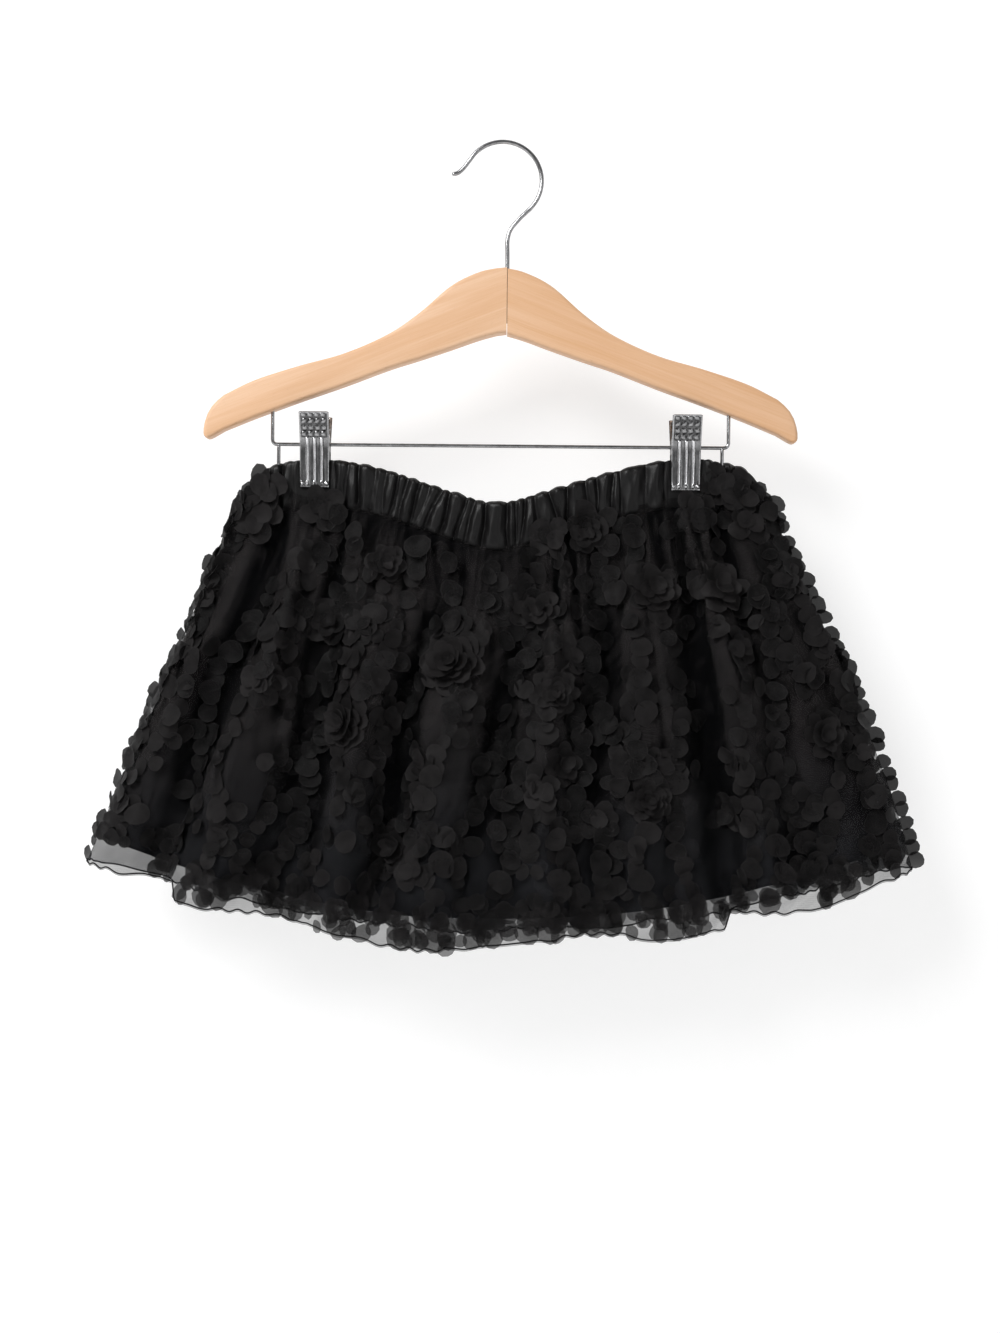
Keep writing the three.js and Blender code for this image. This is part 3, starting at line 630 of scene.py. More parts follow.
def net(side, v, down, fine=1.0):
    """Points on the net: v goes across a panel from left to right, down from its seam to its hem."""
    v = np.asarray(v, float)
    down = np.asarray(down, float)
    across, corner = across_tube(v, 0.06, lerp(0.03, 0.06, down))
    part, top_z, hem_z, lens = upright(side, across)
    x = lerp(follow(SECTIONS, LEFT, down), follow(SECTIONS, RIGHT, down), part)
    hem_wave = wave(v * HEM_WAVES + 0.8 * wave(v * 5.3, side), 0.7 + side)
    uneven = 0.6 + 0.4 * wave(v * 4.3, 2 + side)
    frill = fine * uneven * smoothstep(down, 0.88, 1) * wave(v * FRILLS + 0.9 * wave(v * 7), side)
    z = lerp(top_z, hem_z + HEM_WAVE_HEIGHT * corner * hem_wave + 0.4 * frill, down)
    spread = smoothstep(down, 0, 0.4)
    deep = follow(SECTIONS, NET_DEPTH[side], down) * lens
    gather = GATHER_HEIGHT * wave(v * GATHERS + 0.35 * wave(v * 5), 0.4 + side)
    gathers = gather * (1 - smoothstep(down, 0.05, 0.75)) * (0.55 + 0.45 * wave(v * 3.7, 1))
    small = fine * FINE_GATHER_HEIGHT * wave(v * FINE_GATHERS + 0.7 * wave(v * 6 + down, 1), side)
    gathers = gathers + small * (1 - smoothstep(down, 0.0, 0.4))
    ripple = wave(v * RIPPLES + 0.3 * wave(v * 4 + down, 2), down + side)
    tucked = NET_TUCK * fine * (1 - smoothstep(down, 0.0, 0.045)) * clip_free(x)
    full = lerp(waist_depth(x) + NET_OVER_BAND - tucked, deep, spread)
    full = full + gathers + RIPPLE_HEIGHT * spread * ripple
    ruffle = RUFFLE_HEIGHT * smoothstep(down, 0.72, 1) * wave(v * RUFFLES, side)
    out = full + fold_push(FOLDS[side], x, down) + fine * crease_push(CREASES[side], x, down)
    out = out + ruffle + FRILL_HEIGHT * frill
    nearest = lining_away(lens, x, down) + CLEAR_OF_LINING - tucked * 0.3
    away = 0.5 * (out + nearest + np.hypot(out - nearest, 1.2))
    y = lean(x, z) + side * (NET_SEAM + away * corner)
    return np.stack([x, y, z], axis=-1)


def painted_fold_light(side, v, down, fine=1.0):
    """Painted light on the net: 1 where it stands out past the cloth beside it, 0 where it is crowded
    in a valley and painted shade darkens it.
    """
    here = net(side, v, down, fine)[..., 1]
    share = 1.0
    for steps, (crowded, clear) in PAINTED_VALLEY_SHADES:
        beside = [net(side, np.clip(v + step, 0, 1), down, fine)[..., 1] for step in steps]
        share = share * smoothstep(side * (here - sum(beside) / len(beside)), crowded, clear)
    # painted shade: the net is darker just below the band, and its valley shade eases towards the hem
    near_band = lerp(0.45, 1, smoothstep(down, 0, 0.13))
    return lerp(share, 1, 0.5 * smoothstep(down, 0.62, 0.95)) * near_band


def lining(side, v, down):
    across, corner = across_tube(v, 0.08, 0.06)
    part, top_z, hem_z, lens = upright(1, across)
    band_x = lerp(BAND_LEFT, BAND_RIGHT, part)
    z = lerp(waist_top(band_x) - BAND_HEIGHT + LINING_TUCK, hem_z + LINING_SHORTER, down)
    level = (top_z - z) / (top_z - hem_z)
    left = follow(SECTIONS, LEFT, level) + LINING_NARROWER
    right = follow(SECTIONS, RIGHT, level) - LINING_NARROWER
    x = lerp(band_x, lerp(left, right, part), smoothstep(down, 0, 0.08))
    ripples = smoothstep(down, 0, 0.4) * wave(v * LINING_RIPPLES, side + down)
    away = (lining_away(lens, x, level) + LINING_RIPPLE_HEIGHT * ripples) * corner
    return np.stack([x, lean(x, z) + side * (LINING_SEAM + away), z], axis=-1)


# The grid each panel is made with
NET_GRID, LINING_GRID = (360, 140), (180, 60)
HEM_POINTS = 640
HEM_THREAD = 0.8
HEM_RAISED = {"front": 1.2, "back": 0.6}  # how far the thread sits above the net's edge


class Cloth:
    """Gathers patches of cloth, each a list of points and faces, into one mesh."""

    def __init__(self):
        self.points = []
        self.faces = []
        self.places = []
        self.tones = []
        self.count = 0

    def add(self, points, faces, places, tones):
        points = np.asarray(points, float).reshape(-1, 3)
        self.points.append(points)
        self.faces.extend([corner + self.count for corner in face] for face in faces)
        self.places.append(np.asarray(places, float).reshape(-1, 2))
        self.tones.append(np.broadcast_to(np.asarray(tones, float), (len(points),)))
        self.count += len(points)

    def sewn(self, name, material, replaces=()):
        mesh = bpy.data.meshes.new(name)
        mesh.from_pydata((np.concatenate(self.points) * MM).tolist(), [], self.faces)
        corners = np.empty(len(mesh.loops), dtype=np.int32)
        mesh.loops.foreach_get("vertex_index", corners)
        layer = mesh.uv_layers.new(name="cloth_mm")
        places = np.concatenate(self.places)[corners]
        layer.data.foreach_set("uv", places.astype(np.float32).ravel())
        tone = mesh.attributes.new("tone", "FLOAT", "POINT")
        tone.data.foreach_set("value", np.concatenate(self.tones).astype(np.float32))
        return piece_of(name, mesh, material, replaces)


def piece_of(name, mesh, material, replaces=()):
    """A finished piece of the part, which rides with it and may stand for solids."""
    mesh.polygons.foreach_set("use_smooth", [True] * len(mesh.polygons))
    mesh.materials.append(material)
    mesh.update()
    piece = bpy.data.objects.new(name, mesh)
    bpy.context.collection.objects.link(piece)
    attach(piece, "root")
    if replaces:
        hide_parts(*replaces)
    return piece


def grid_faces(rows, columns, ring=False, flip=False):
    """Four-sided faces of a grid of points, row after row."""
    row = np.arange(rows - 1)[:, None]
    column = np.arange(columns if ring else columns - 1)[None, :]
    beside = (column + 1) % columns
    a = row * columns + column
    b = row * columns + beside
    c = (row + 1) * columns + beside
    d = (row + 1) * columns + column
    order = (a, d, c, b) if flip else (a, b, c, d)
    return np.stack(order, axis=-1).reshape(-1, 4).tolist()


class Value:
    """A number in a material's nodes. Arithmetic on it adds Math nodes."""

    def __init__(self, finish, socket):
        self.finish = finish
        self.socket = socket

    def math(self, operation, first, second):
        return self.finish.node(
            "ShaderNodeMath", {"operation": operation}, {0: first, 1: second}
        )

    def __add__(self, other):
        return self.math("ADD", self, other)

    def __sub__(self, other):
        return self.math("SUBTRACT", self, other)

    def __mul__(self, other):
        return self.math("MULTIPLY", self, other)

    def between(self, low, high, to_low=0.0, to_high=1.0):
        """to_low below low, to_high above high, and a soft step between them."""
        return self.finish.node(
            "ShaderNodeMapRange",
            {"interpolation_type": "SMOOTHSTEP"},
            {"Value": self, "From Min": low, "From Max": high, "To Min": to_low, "To Max": to_high},
        )


class Finish:
    """A material: its main shader, and the nodes that feed it."""

    def __init__(self, name, **constants):
        self.material = bpy.data.materials.new(name)
        self.material.use_nodes = True
        self.tree = self.material.node_tree
        self.shader = self.tree.nodes["Principled BSDF"]
        for word, value in constants.items():
            socket = "Specular IOR Level" if word == "gloss" else word.replace("_", " ").title()
            self.shader.inputs[socket].default_value = value

    def node(self, kind, settings, sockets, out=0):
        """One node: its kind, its settings, the values or links of its sockets, and its output."""
        node = self.tree.nodes.new(kind)
        for key, value in settings.items():
            setattr(node, key, value)
        for key, value in sockets.items():
            if isinstance(value, Value):
                self.tree.links.new(value.socket, node.inputs[key])
            else:
                node.inputs[key].default_value = value
        return Value(self, node.outputs[out])

    def place(self):
        return self.node("ShaderNodeTexCoord", {}, {}, "Object")

    def cloth_place(self):
        return self.node("ShaderNodeUVMap", {"uv_map": "cloth_mm"}, {}, "UV")

    def tone(self):
        return self.node("ShaderNodeAttribute", {"attribute_name": "tone"}, {}, "Fac")

    def stretched(self, place, scale):
        return self.node("ShaderNodeMapping", {}, {"Vector": place, "Scale": scale})

    def noise(self, place, scale, detail=3.0, roughness=0.55, distortion=0.0):
        sockets = {
            "Vector": place,
            "Scale": scale,
            "Detail": detail,
            "Roughness": roughness,
            "Distortion": distortion,
        }
        return self.node("ShaderNodeTexNoise", {}, sockets, "Fac")

    def mesh_holes(self, place, scale):
        sockets = {"Vector": place, "Scale": scale, "Randomness": 0.35}
        return self.node("ShaderNodeTexVoronoi", {"feature": "DISTANCE_TO_EDGE"}, sockets, "Distance")

    def stripes(self, place, scale, direction):
        sockets = {"Vector": place, "Scale": scale}
        return self.node("ShaderNodeTexWave", {"bands_direction": direction}, sockets, "Fac")

    def along(self, place, axis):
        return self.node("ShaderNodeSeparateXYZ", {}, {0: place}, axis)

    def blend(self, share, first, second):
        first = first if isinstance(first, Value) else (*first, 1)
        second = second if isinstance(second, Value) else (*second, 1)
        return self.node("ShaderNodeMix", {"data_type": "RGBA"}, {0: share, 6: first, 7: second}, 2)

    def feed(self, socket, value):
        self.tree.links.new(value.socket, self.shader.inputs[socket])

    def raise_by(self, height, distance, strength=1.0):
        sockets = {"Height": height, "Distance": distance, "Strength": strength}
        self.feed("Normal", self.node("ShaderNodeBump", {}, sockets))


def black_net():
    finish = Finish("black_net", roughness=0.85, gloss=0.05, sheen_weight=0.03, sheen_roughness=0.45)
    place = finish.cloth_place()
    thread = finish.mesh_holes(place, 0.95).between(0.02, 0.1, 1.0, 0.0)
    cloud = finish.noise(place, 0.05, 4)
    wrinkle = finish.noise(finish.stretched(place, (0.24, 0.06, 1)), 1.0, 4, 0.6, 0.8)
    finish.feed("Alpha", thread * 0.13 + cloud.between(0.3, 0.7, 0.42, 0.57))
    low = finish.along(finish.place(), "Z").between(-0.4, -0.3, 1.0, 0.0)
    lit = finish.blend(low, (0.031, 0.0284, 0.0287), (0.0215, 0.0220, 0.0245))
    # random cloud tone, plus painted highlights on the wrinkles' crests and painted shade in their
    # troughs, following the noise of their bump
    tone_and_painted_light = cloud.between(0.3, 0.7, -0.16, 0.12) + wrinkle.between(0.35, 0.65, -0.2, 0.2)
    light = finish.tone() + tone_and_painted_light
    finish.feed("Base Color", finish.blend(light, (0.001, 0.001, 0.0012), lit))
    finish.raise_by(wrinkle * 2.0 + thread * 0.01, 0.0014, 0.8)
    return finish.material


def organza_petals():
    finish = Finish(
        "organza_petals", roughness=0.65, gloss=0.12, sheen_weight=0.04, sheen_roughness=0.4
    )
    place = finish.place()
    weave = finish.noise(place, 2600, 2)
    blotch = finish.noise(place, 170, 3)
    # a paler rim on each petal: partly its frayed cut edge, partly a painted highlight
    rim = finish.along(finish.cloth_place(), "Y").between(0.86, 1.0)
    finish.feed("Alpha", finish.along(place, "Z").between(-0.408, -0.38, 0.74, 0.96))
    tone = finish.tone() + blotch.between(0.3, 0.7, -0.18, 0.18) + rim * 0.3
    finish.feed("Base Color", finish.blend(tone, (0.0009, 0.0008, 0.0009), (0.0138, 0.0125, 0.0128)))
    finish.raise_by(weave * 0.3 + blotch, 0.0006, 0.5)
    return finish.material


def black_satin():
    finish = Finish("black_satin", gloss=0.26, sheen_weight=0.02, sheen_roughness=0.35)
    place = finish.cloth_place()
    threads = finish.noise(finish.stretched(place, (9.0, 0.6, 1)), 1.0, 3)
    cloud = finish.noise(place, 0.12, 3)
    finish.feed("Base Color", finish.blend(cloud, (0.0025, 0.0023, 0.0024), (0.006, 0.0056, 0.0058)))
    low = finish.along(place, "Y").between(21, 25.5, 0.0, 0.3)
    finish.feed("Roughness", threads.between(0.3, 0.7, 0.34, 0.44) + low)
    finish.raise_by(threads + cloud, 0.00015, 0.4)
    return finish.material


def black_lining():
    finish = Finish("black_lining", roughness=0.7, gloss=0.05, sheen_weight=0.01)
    place = finish.cloth_place()
    weave = finish.stripes(place, 0.9, "X") * finish.stripes(place, 0.9, "Y")
    cloud = finish.noise(place, 0.02, 4)
    finish.feed("Base Color", finish.blend(cloud, (0.0008, 0.0009, 0.0014), (0.002, 0.0022, 0.0033)))
    finish.raise_by(weave + cloud, 0.0001, 0.3)
    return finish.material


def hem_thread():
    finish = Finish("hem_thread", roughness=0.75, gloss=0.2)
    twist = finish.noise(finish.place(), 3500, 2)
    finish.feed("Base Color", finish.blend(twist, (0.004, 0.004, 0.005), (0.012, 0.0115, 0.012)))
    finish.raise_by(twist, 0.0002, 0.6)
    return finish.material


def beech_wood():
    finish = Finish("beech_wood", gloss=0.4, coat_weight=0.08, coat_roughness=0.35)
    place = finish.cloth_place()
    bands = finish.noise(finish.stretched(place, (0.007, 0.1, 1)), 1.0, 4, 0.5, 1.0)
    grain = finish.noise(finish.stretched(place, (0.03, 1.1, 1)), 1.0, 4, 0.6)
    pores = finish.noise(finish.stretched(place, (0.3, 3.4, 1)), 1.0, 2, 0.5).between(0.66, 0.72)
    share = finish.tone() + bands.between(0.3, 0.7, -0.3, 0.3) + grain.between(0.3, 0.7, -0.12, 0.16)
    colour = finish.blend(share, (0.845, 0.56, 0.365), (0.73, 0.42, 0.225))
    finish.feed("Base Color", finish.blend(pores * 0.28, colour, (0.5, 0.27, 0.14)))
    finish.feed("Roughness", grain.between(0.3, 0.7, 0.42, 0.55))
    finish.raise_by(grain - pores * 0.5, 0.0001, 0.3)
    return finish.material


def polished_steel(name, dull, light, roughness, grain, pressed=False):
    """Drawn wire, or pressed sheet whose colour follows its tone, which holds painted highlights on
    its ribs, knurl tops and rim and painted shade in its knurl and folded sides.
    """
    finish = Finish(name, metallic=1.0)
    place = finish.place()
    streak = finish.noise(finish.stretched(place, grain), 1.0, 3)
    spots = finish.noise(place, 420, 3)
    share = spots.between(0.3, 0.7)
    if pressed:
        share = finish.tone() + spots.between(0.3, 0.7, -0.05, 0.05)
    colour = finish.blend(share, (dull, dull, dull * 1.02), (light, light, light * 1.02))
    finish.feed("Base Color", colour)
    finish.feed("Roughness", streak.between(0.3, 0.7, roughness * 0.7, roughness * 1.35))
    finish.raise_by(streak, 0.00002, 0.1)
    return finish.material


NET_CLOTH = black_net()
PETAL_CLOTH = organza_petals()
SATIN = black_satin()
LINING_CLOTH = black_lining()
THREAD = hem_thread()
WOOD = beech_wood()
WIRE_STEEL = polished_steel("steel_wire", 0.3, 0.44, 0.2, (50, 50, 50))
CLIP_STEEL = polished_steel("nickel_plate", 0.08, 0.95, 0.24, (900, 900, 60), pressed=True)
SPRING_STEEL = polished_steel("spring_steel", 0.28, 0.4, 0.35, (200, 200, 200))


def smooth_path(points, steps):
    """A centripetal curve through points, sampled evenly in each span."""
    points = np.asarray(points, float)
    ends = [2 * points[0] - points[1], *points, 2 * points[-1] - points[-2]]
    out = []
    for a, b, c, d in zip(ends, ends[1:], ends[2:], ends[3:]):
        t1 = np.linalg.norm(b - a) ** 0.5
        t2 = t1 + np.linalg.norm(c - b) ** 0.5
        t3 = t2 + np.linalg.norm(d - c) ** 0.5
        for t in np.linspace(t1, t2, steps, endpoint=False):
            ab = lerp(a, b, t / t1)
            bc = lerp(b, c, (t - t1) / (t2 - t1))
            cd = lerp(c, d, (t - t2) / (t3 - t2))
            abc = lerp(ab, bc, t / t2)
            bcd = lerp(bc, cd, (t - t1) / (t3 - t1))
            out.append(lerp(abc, bcd, (t - t1) / (t2 - t1)))
    out.append(points[-1])
    return np.array(out)


# A wire's rounded end. Columns: how near the full length, width there
WIRE_END = [
    (1.0, 0.12),
    (0.9, 0.44),
    (0.7, 0.71),
    (0.4, 0.92),
    (0.0, 1.0),
]


def drawn_wire(name, runs, radius, quarter, material, replaces=()):
    """A round wire or thread along each run of points, with its ends rounded off."""
    curve = bpy.data.curves.new(name, "CURVE")
    curve.dimensions = "3D"
    curve.bevel_depth = radius * MM
    curve.bevel_resolution = quarter
    curve.use_fill_caps = True
    for run in runs:
        run = np.asarray(run, float)
        first, last = run[0], run[-1]
        into = unit(run[1] - first) * radius
        back = unit(run[-2] - last) * radius
        from_ends = np.minimum(*(np.linalg.norm(run - end, axis=1) for end in (first, last)))
        points = [(*(first + into * (1 - share)), width) for share, width in WIRE_END]
        points += [(*place, 1.0) for place in run[from_ends > radius * 1.2]]
        points += [(*(last + back * (1 - share)), width) for share, width in WIRE_END[::-1]]
        spline = curve.splines.new("POLY")
        spline.points.add(len(points) - 1)
        for spot, (x, y, z, width) in zip(spline.points, points):
            spot.co = (x * MM, y * MM, z * MM, 1)
            spot.radius = width
    maker = bpy.data.objects.new(name, curve)
    mesh = bpy.data.meshes.new_from_object(maker)
    bpy.data.objects.remove(maker)
    bpy.data.curves.remove(curve)
    tube = bmesh.new()
    tube.from_mesh(mesh)
    bmesh.ops.remove_doubles(tube, verts=tube.verts, dist=0.00001)
    bmesh.ops.recalc_face_normals(tube, faces=tube.faces)
    tube.to_mesh(mesh)
    tube.free()
    return piece_of(name, mesh, material, replaces)


def cloth_panel(name, surface, side, grid, material, node):
    """A panel of cloth as a grid, with its places in millimetres for the weave."""
    columns, rows = grid
    v, down = np.meshgrid(np.linspace(0, 1, columns), np.linspace(0, 1, rows))
    points = surface(side, v, down)
    steps = np.linalg.norm(np.diff(points, axis=1), axis=2)
    wide = np.concatenate([np.zeros((rows, 1)), np.cumsum(steps, axis=1)], axis=1)
    places = np.stack([wide, -points[..., 2]], axis=-1)
    cloth = Cloth()
    # the net's tone carries painted shade in its valleys; the lining's carries none
    light = painted_fold_light(side, v, down) if surface is net else np.zeros_like(v)
    cloth.add(points, grid_faces(rows, columns, flip=side < 0), places, light.ravel())
    return cloth.sewn(name, material, [node])


def rolled_hem(name, side, above):
    v = np.linspace(0.0, 1.0, HEM_POINTS)
    path = net(side, v, np.ones_like(v))
    path[:, 2] += above
    return drawn_wire(name, [path], HEM_THREAD / 2, 1, THREAD)


PETAL_RINGS = (0.42, 0.76, 1.0)
PETAL_SPOKES = 11


def petal_pattern():
    """A petal one unit in radius: its places as share of the radius and turn, and its faces."""
    turns = np.linspace(0, 2 * np.pi, PETAL_SPOKES, endpoint=False)
    places = [(0.0, 0.0)] + [(ring, turn) for ring in PETAL_RINGS for turn in turns]
    faces = []
    for spoke in range(PETAL_SPOKES):
        beside = (spoke + 1) % PETAL_SPOKES
        faces.append((0, 1 + beside, 1 + spoke))
        for ring in range(len(PETAL_RINGS) - 1):
            inner = 1 + ring * PETAL_SPOKES
            outer = inner + PETAL_SPOKES
            faces.append((inner + spoke, inner + beside, outer + beside, outer + spoke))
    return np.array(places), faces


PETAL_PLACES, PETAL_FACES = petal_pattern()


def drawn(number, looks):
    """Random looks of petals: for each word, one number for each petal between its two ends."""
    return {word: chance.uniform(low, high, number) for word, (low, high) in looks.items()}


def cut_petals(size, long, reach, slope, lift, cup, spin):
    """Petals cut and curled: for each, its points sideways, upward and outward of its stitch."""
    number = len(spin)
    given = (size, long, reach, slope, lift, cup, spin)
    size, long, reach, slope, lift, cup, spin = (
        np.broadcast_to(np.asarray(value, float), (number,))[:, None] for value in given
    )
    share = PETAL_PLACES[:, 0][None, :]
    turn = PETAL_PLACES[:, 1][None, :]
    phase = chance.uniform(0, 6.3, (number, 1))
    oval = 1 + 0.09 * np.cos(2 * turn + phase) + 0.05 * np.cos(3 * turn + 3 * phase)
    across = size * oval * share * np.sin(turn)
    length = size * oval * long * share * np.cos(turn) + reach
    root = length.min(axis=1, keepdims=True)
    fold = chance.uniform(0.0, 0.14, (number, 1)) * across**2 / size
    curl = 0.08 * size * share**3 * np.sin(3 * turn + phase * 3)
    high = lift + slope * (length - root) + cup * size * share**2 + fold + curl
    sideways = across * np.cos(spin) - length * np.sin(spin)
    upward = across * np.sin(spin) + length * np.cos(spin)
    return sideways, upward, high


def add_petals(cloth, points, flip, tones):
    """Adds petals, one row of points each."""
    number, per = points.shape[:2]
    order = -1 if flip else 1
    faces = [
        [corner + per * petal for corner in face[::order]]
        for petal in range(number)
        for face in PETAL_FACES
    ]
    places = np.broadcast_to(PETAL_PLACES[:, ::-1], (number, per, 2))
    cloth.add(points, faces, places, np.repeat(np.broadcast_to(tones, (number,)), per))


def laid_out(stitch, axes, amounts):
    """Points of petals: from each stitch, so far along each of its axes."""
    points = stitch[:, None]
    for axis, amount in zip(axes, amounts):
        points = points + amount[..., None] * axis[:, None]
    return points


def sew_petals(cloth, side, v, down, size, spin, slope, lift, cup, reach=0.0, tone=0.5, long=1.0,
               shade=0.15, inside=False, step=0.004):
    """Petals sewn to the net. spin turns each in the cloth, slope raises its free end, lift is its
    height at the stitch, cup curls its edge, reach moves it along its own length, shade is the share
    of its tone that is left where painted shade darkens a valley of the net, and step is how much of
    the net it lies on."""
    ahead, before = np.clip(v + step, 0, 1), np.clip(v - step, 0, 1)
    lower, upper = np.clip(down + step, 0, 1), np.clip(down - step, 0, 1)
    stitch = net(side, v, down, 0)
    wide = net(side, ahead, down, 0) - net(side, before, down, 0)
    tall = net(side, v, upper, 0) - net(side, v, lower, 0)
    per_v = np.linalg.norm(wide, axis=1) / (ahead - before)
    per_down = np.linalg.norm(tall, axis=1) / (lower - upper)
    sideways = unit(wide)
    outward = unit(side * np.cross(tall, sideways))
    upward = np.cross(outward, sideways)
    upward *= np.sign(upward[:, 2:3])
    a, b, high = cut_petals(size, long, reach, slope, lift, cup, spin)
    there_v = np.clip(v[:, None] + a / per_v[:, None], 0, 1)
    there_down = np.clip(down[:, None] - b / per_down[:, None], 0, 1)
    swell = ((net(side, there_v, there_down, 1) - stitch[:, None]) * outward[:, None]).sum(axis=-1)
    if inside:
        high = np.minimum(-UNDER_NET - 0.25 * high, swell - UNDER_NET)
    else:
        high = np.maximum(high + 0.6 * np.minimum(swell, 0), swell + OVER_NET + 0.1 * high)
    points = laid_out(stitch, (sideways, upward, outward), (a, b, high))
    # petals are painted darker where they lie in a valley of the net
    add_petals(cloth, points, side > 0, tone * lerp(shade, 1, painted_fold_light(side, v, down, 0)))


def strand_petals(cloth, side, strands):
    for top, low, wander, bends, doubled, start, end in strands:
        number = int(STRAND_LENGTH * (end - start) / PETAL_STEP)
        share = (np.arange(number) + chance.uniform(0.2, 0.8, number)) / number
        down = start + (end - start) * share
        v = lerp(top, low, down) + wander * wave(down * bends, top * 40)
        v = v + chance.normal(0, 0.003, number)
        extra = chance.uniform(0, 1, number) < doubled
        beside = chance.choice([-1.0, 1.0], number) * chance.uniform(0.012, 0.022, number)
        v = np.clip(np.concatenate([v, (v + beside)[extra]]), SIDE_MARGIN, 1 - SIDE_MARGIN)
        down = np.concatenate([down, (down + chance.uniform(-0.02, 0.02, number))[extra]])
        down = np.clip(down, FIRST_PETAL, LAST_PETAL)
        hidden = chance.uniform(0, 1, len(v)) < BEHIND_NET
        for chosen, inside in ((~hidden, False), (hidden, True)):
            some = int(chosen.sum())
            if some == 0:
                continue
            size = np.clip(chance.normal(PETAL_SIZE, 0.8, some), SMALLEST_PETAL, LARGEST_PETAL)
            looks = drawn(some, STRAND_LOOKS)
            sew_petals(cloth, side, v[chosen], down[chosen], size, inside=inside, **looks)


def hem_petals(cloth, side):
    """Uneven rows of petals that crowd along the hem, with the left corner left plain."""
    for down, start, end, filled in HEM_ROWS:
        v = np.arange(start, end, HEM_ROW_STEP)
        v = v[chance.uniform(0, 1, len(v)) < filled]
        number = len(v)
        v = v + chance.normal(0, 0.005, number)
        level = np.minimum(down + chance.uniform(-0.012, 0.01, number), 1)
        sew_petals(cloth, side, v, level, inside=side > 0, **drawn(number, HEM_LOOKS))


def place_on_net(side, x, z):
    """The place across and down the net that lies at some x and z."""
    v = down = 0.5
    for _ in range(40):
        point = net(side, v, down, 0)
        v = float(np.clip(v + 0.8 * (x - point[0]) / 360, 0.004, 0.996))
        down = float(np.clip(down - 0.8 * (z - point[2]) / 225, 0.01, 0.99))
    return v, down


def flower(cloth, side, v, down, radius, layers):
    first = chance.uniform(0, 2)
    for layer, (count, out, size, slope, lift, cup) in enumerate(layers):
        spin = first + layer * FLOWER_TWIST + np.arange(count) * 2 * np.pi / count
        sew_petals(
            cloth, side, np.full(count, v), np.full(count, down),
            size=radius * size * chance.uniform(0.9, 1.1, count),
            spin=spin + chance.normal(0, 0.12, count),
            slope=slope * chance.uniform(0.6, 1.3, count),
            lift=lift,
            cup=cup,
            reach=radius * out,
            tone=chance.uniform(0.5, 1.2, count),
            long=1.05,
            shade=FLOWER_SHADE,
            step=FLOWER_BED,
        )


def applique(word, side):
    """The petals and the layered flowers of one panel."""
    single = Cloth()
    strand_petals(single, side, STRANDS[side])
    hem_petals(single, side)
    for _ in range(SMALL_FLOWERS):
        v, down = chance.uniform(0.08, 0.92), chance.uniform(0.08, 0.92)
        flower(single, side, v, down, SMALL_RADIUS, LAYERS[LOOSE])
    layered = Cloth()
    for x, z, radius, kind in FLOWERS[side]:
        v, down = place_on_net(side, x, z)
        flower(layered, side, v, down, radius, LAYERS[kind])
    return [
        single.sewn(f"petals_{word}", PETAL_CLOTH),
        layered.sewn(f"flowers_{word}", PETAL_CLOTH),
    ]


def edge_petals(word, v, swing):
    """The chain of petals that stands out along one side edge, each turned by about swing."""
    end = 1 if v > 0.5 else -1
    down = np.arange(0.03, 0.985, EDGE_STEP)
    number = len(down)
    down = down + chance.uniform(-0.007, 0.007, number)
    stitch = net(-1, np.full(number, v), down)
    stitch[:, 1] += chance.uniform(-2.5, 2.5, number)
    size = chance.uniform(3.9, 5.0, number)
    spin = chance.uniform(-0.5, 0.5, number) - end * np.pi / 2
    a, b, high = cut_petals(size, 1.1, size * 0.62, 0.1, 0.0, 0.12, spin)
    swing = swing + chance.normal(0, 0.22, number)
    zero = np.zeros(number)
    sideways = np.stack([np.cos(swing), end * np.sin(swing), zero], axis=-1)
    upward = np.stack([zero - 0.12 * end, chance.normal(0, 0.12, number), zero + 1], axis=-1)
    upward = unit(upward)
    frontward = unit(np.cross(sideways, upward))
    points = laid_out(stitch, (sideways, upward, frontward), (a, b, high))
    cloth = Cloth()
    add_petals(cloth, points, False, chance.uniform(0.1, 0.6, number))
    return cloth.sewn(f"petals_{word}_edge", PETAL_CLOTH)


trims = {word: applique(word, side) for word, side in SIDES.items()}
trims["front"].append(edge_petals("left", 0.0, LEFT_SWING))
trims["front"].append(edge_petals("right", 1.0, RIGHT_SWING))
for word, side in SIDES.items():
    trims[word].append(rolled_hem(f"net_hem_{word}", side, HEM_RAISED[word]))
    panel = cloth_panel(f"net_{word}", net, side, NET_GRID, NET_CLOTH, f"tulle_{word}")
for word, side in SIDES.items():
    name = f"lining_cloth_{word}"
    panel = cloth_panel(name, lining, side, LINING_GRID, LINING_CLOTH, f"lining_{word}")


SATIN_COLUMNS = 620  # on each side
SATIN_ROWS = [0.0, 0.35, 1.0, *np.linspace(2.2, 24.4, 18), 25.3, 26.0]
SATIN_INSIDE_ROWS = (25.6, 18, 9, 0.5)
SATIN_INSIDE = 0.95  # depth of the plain inside behind the middle of the wall
SATIN_PLUMP, SATIN_MOST = 1.5, 3.8
FULL_GATHER = 6.5  # a gather this wide puffs up fully


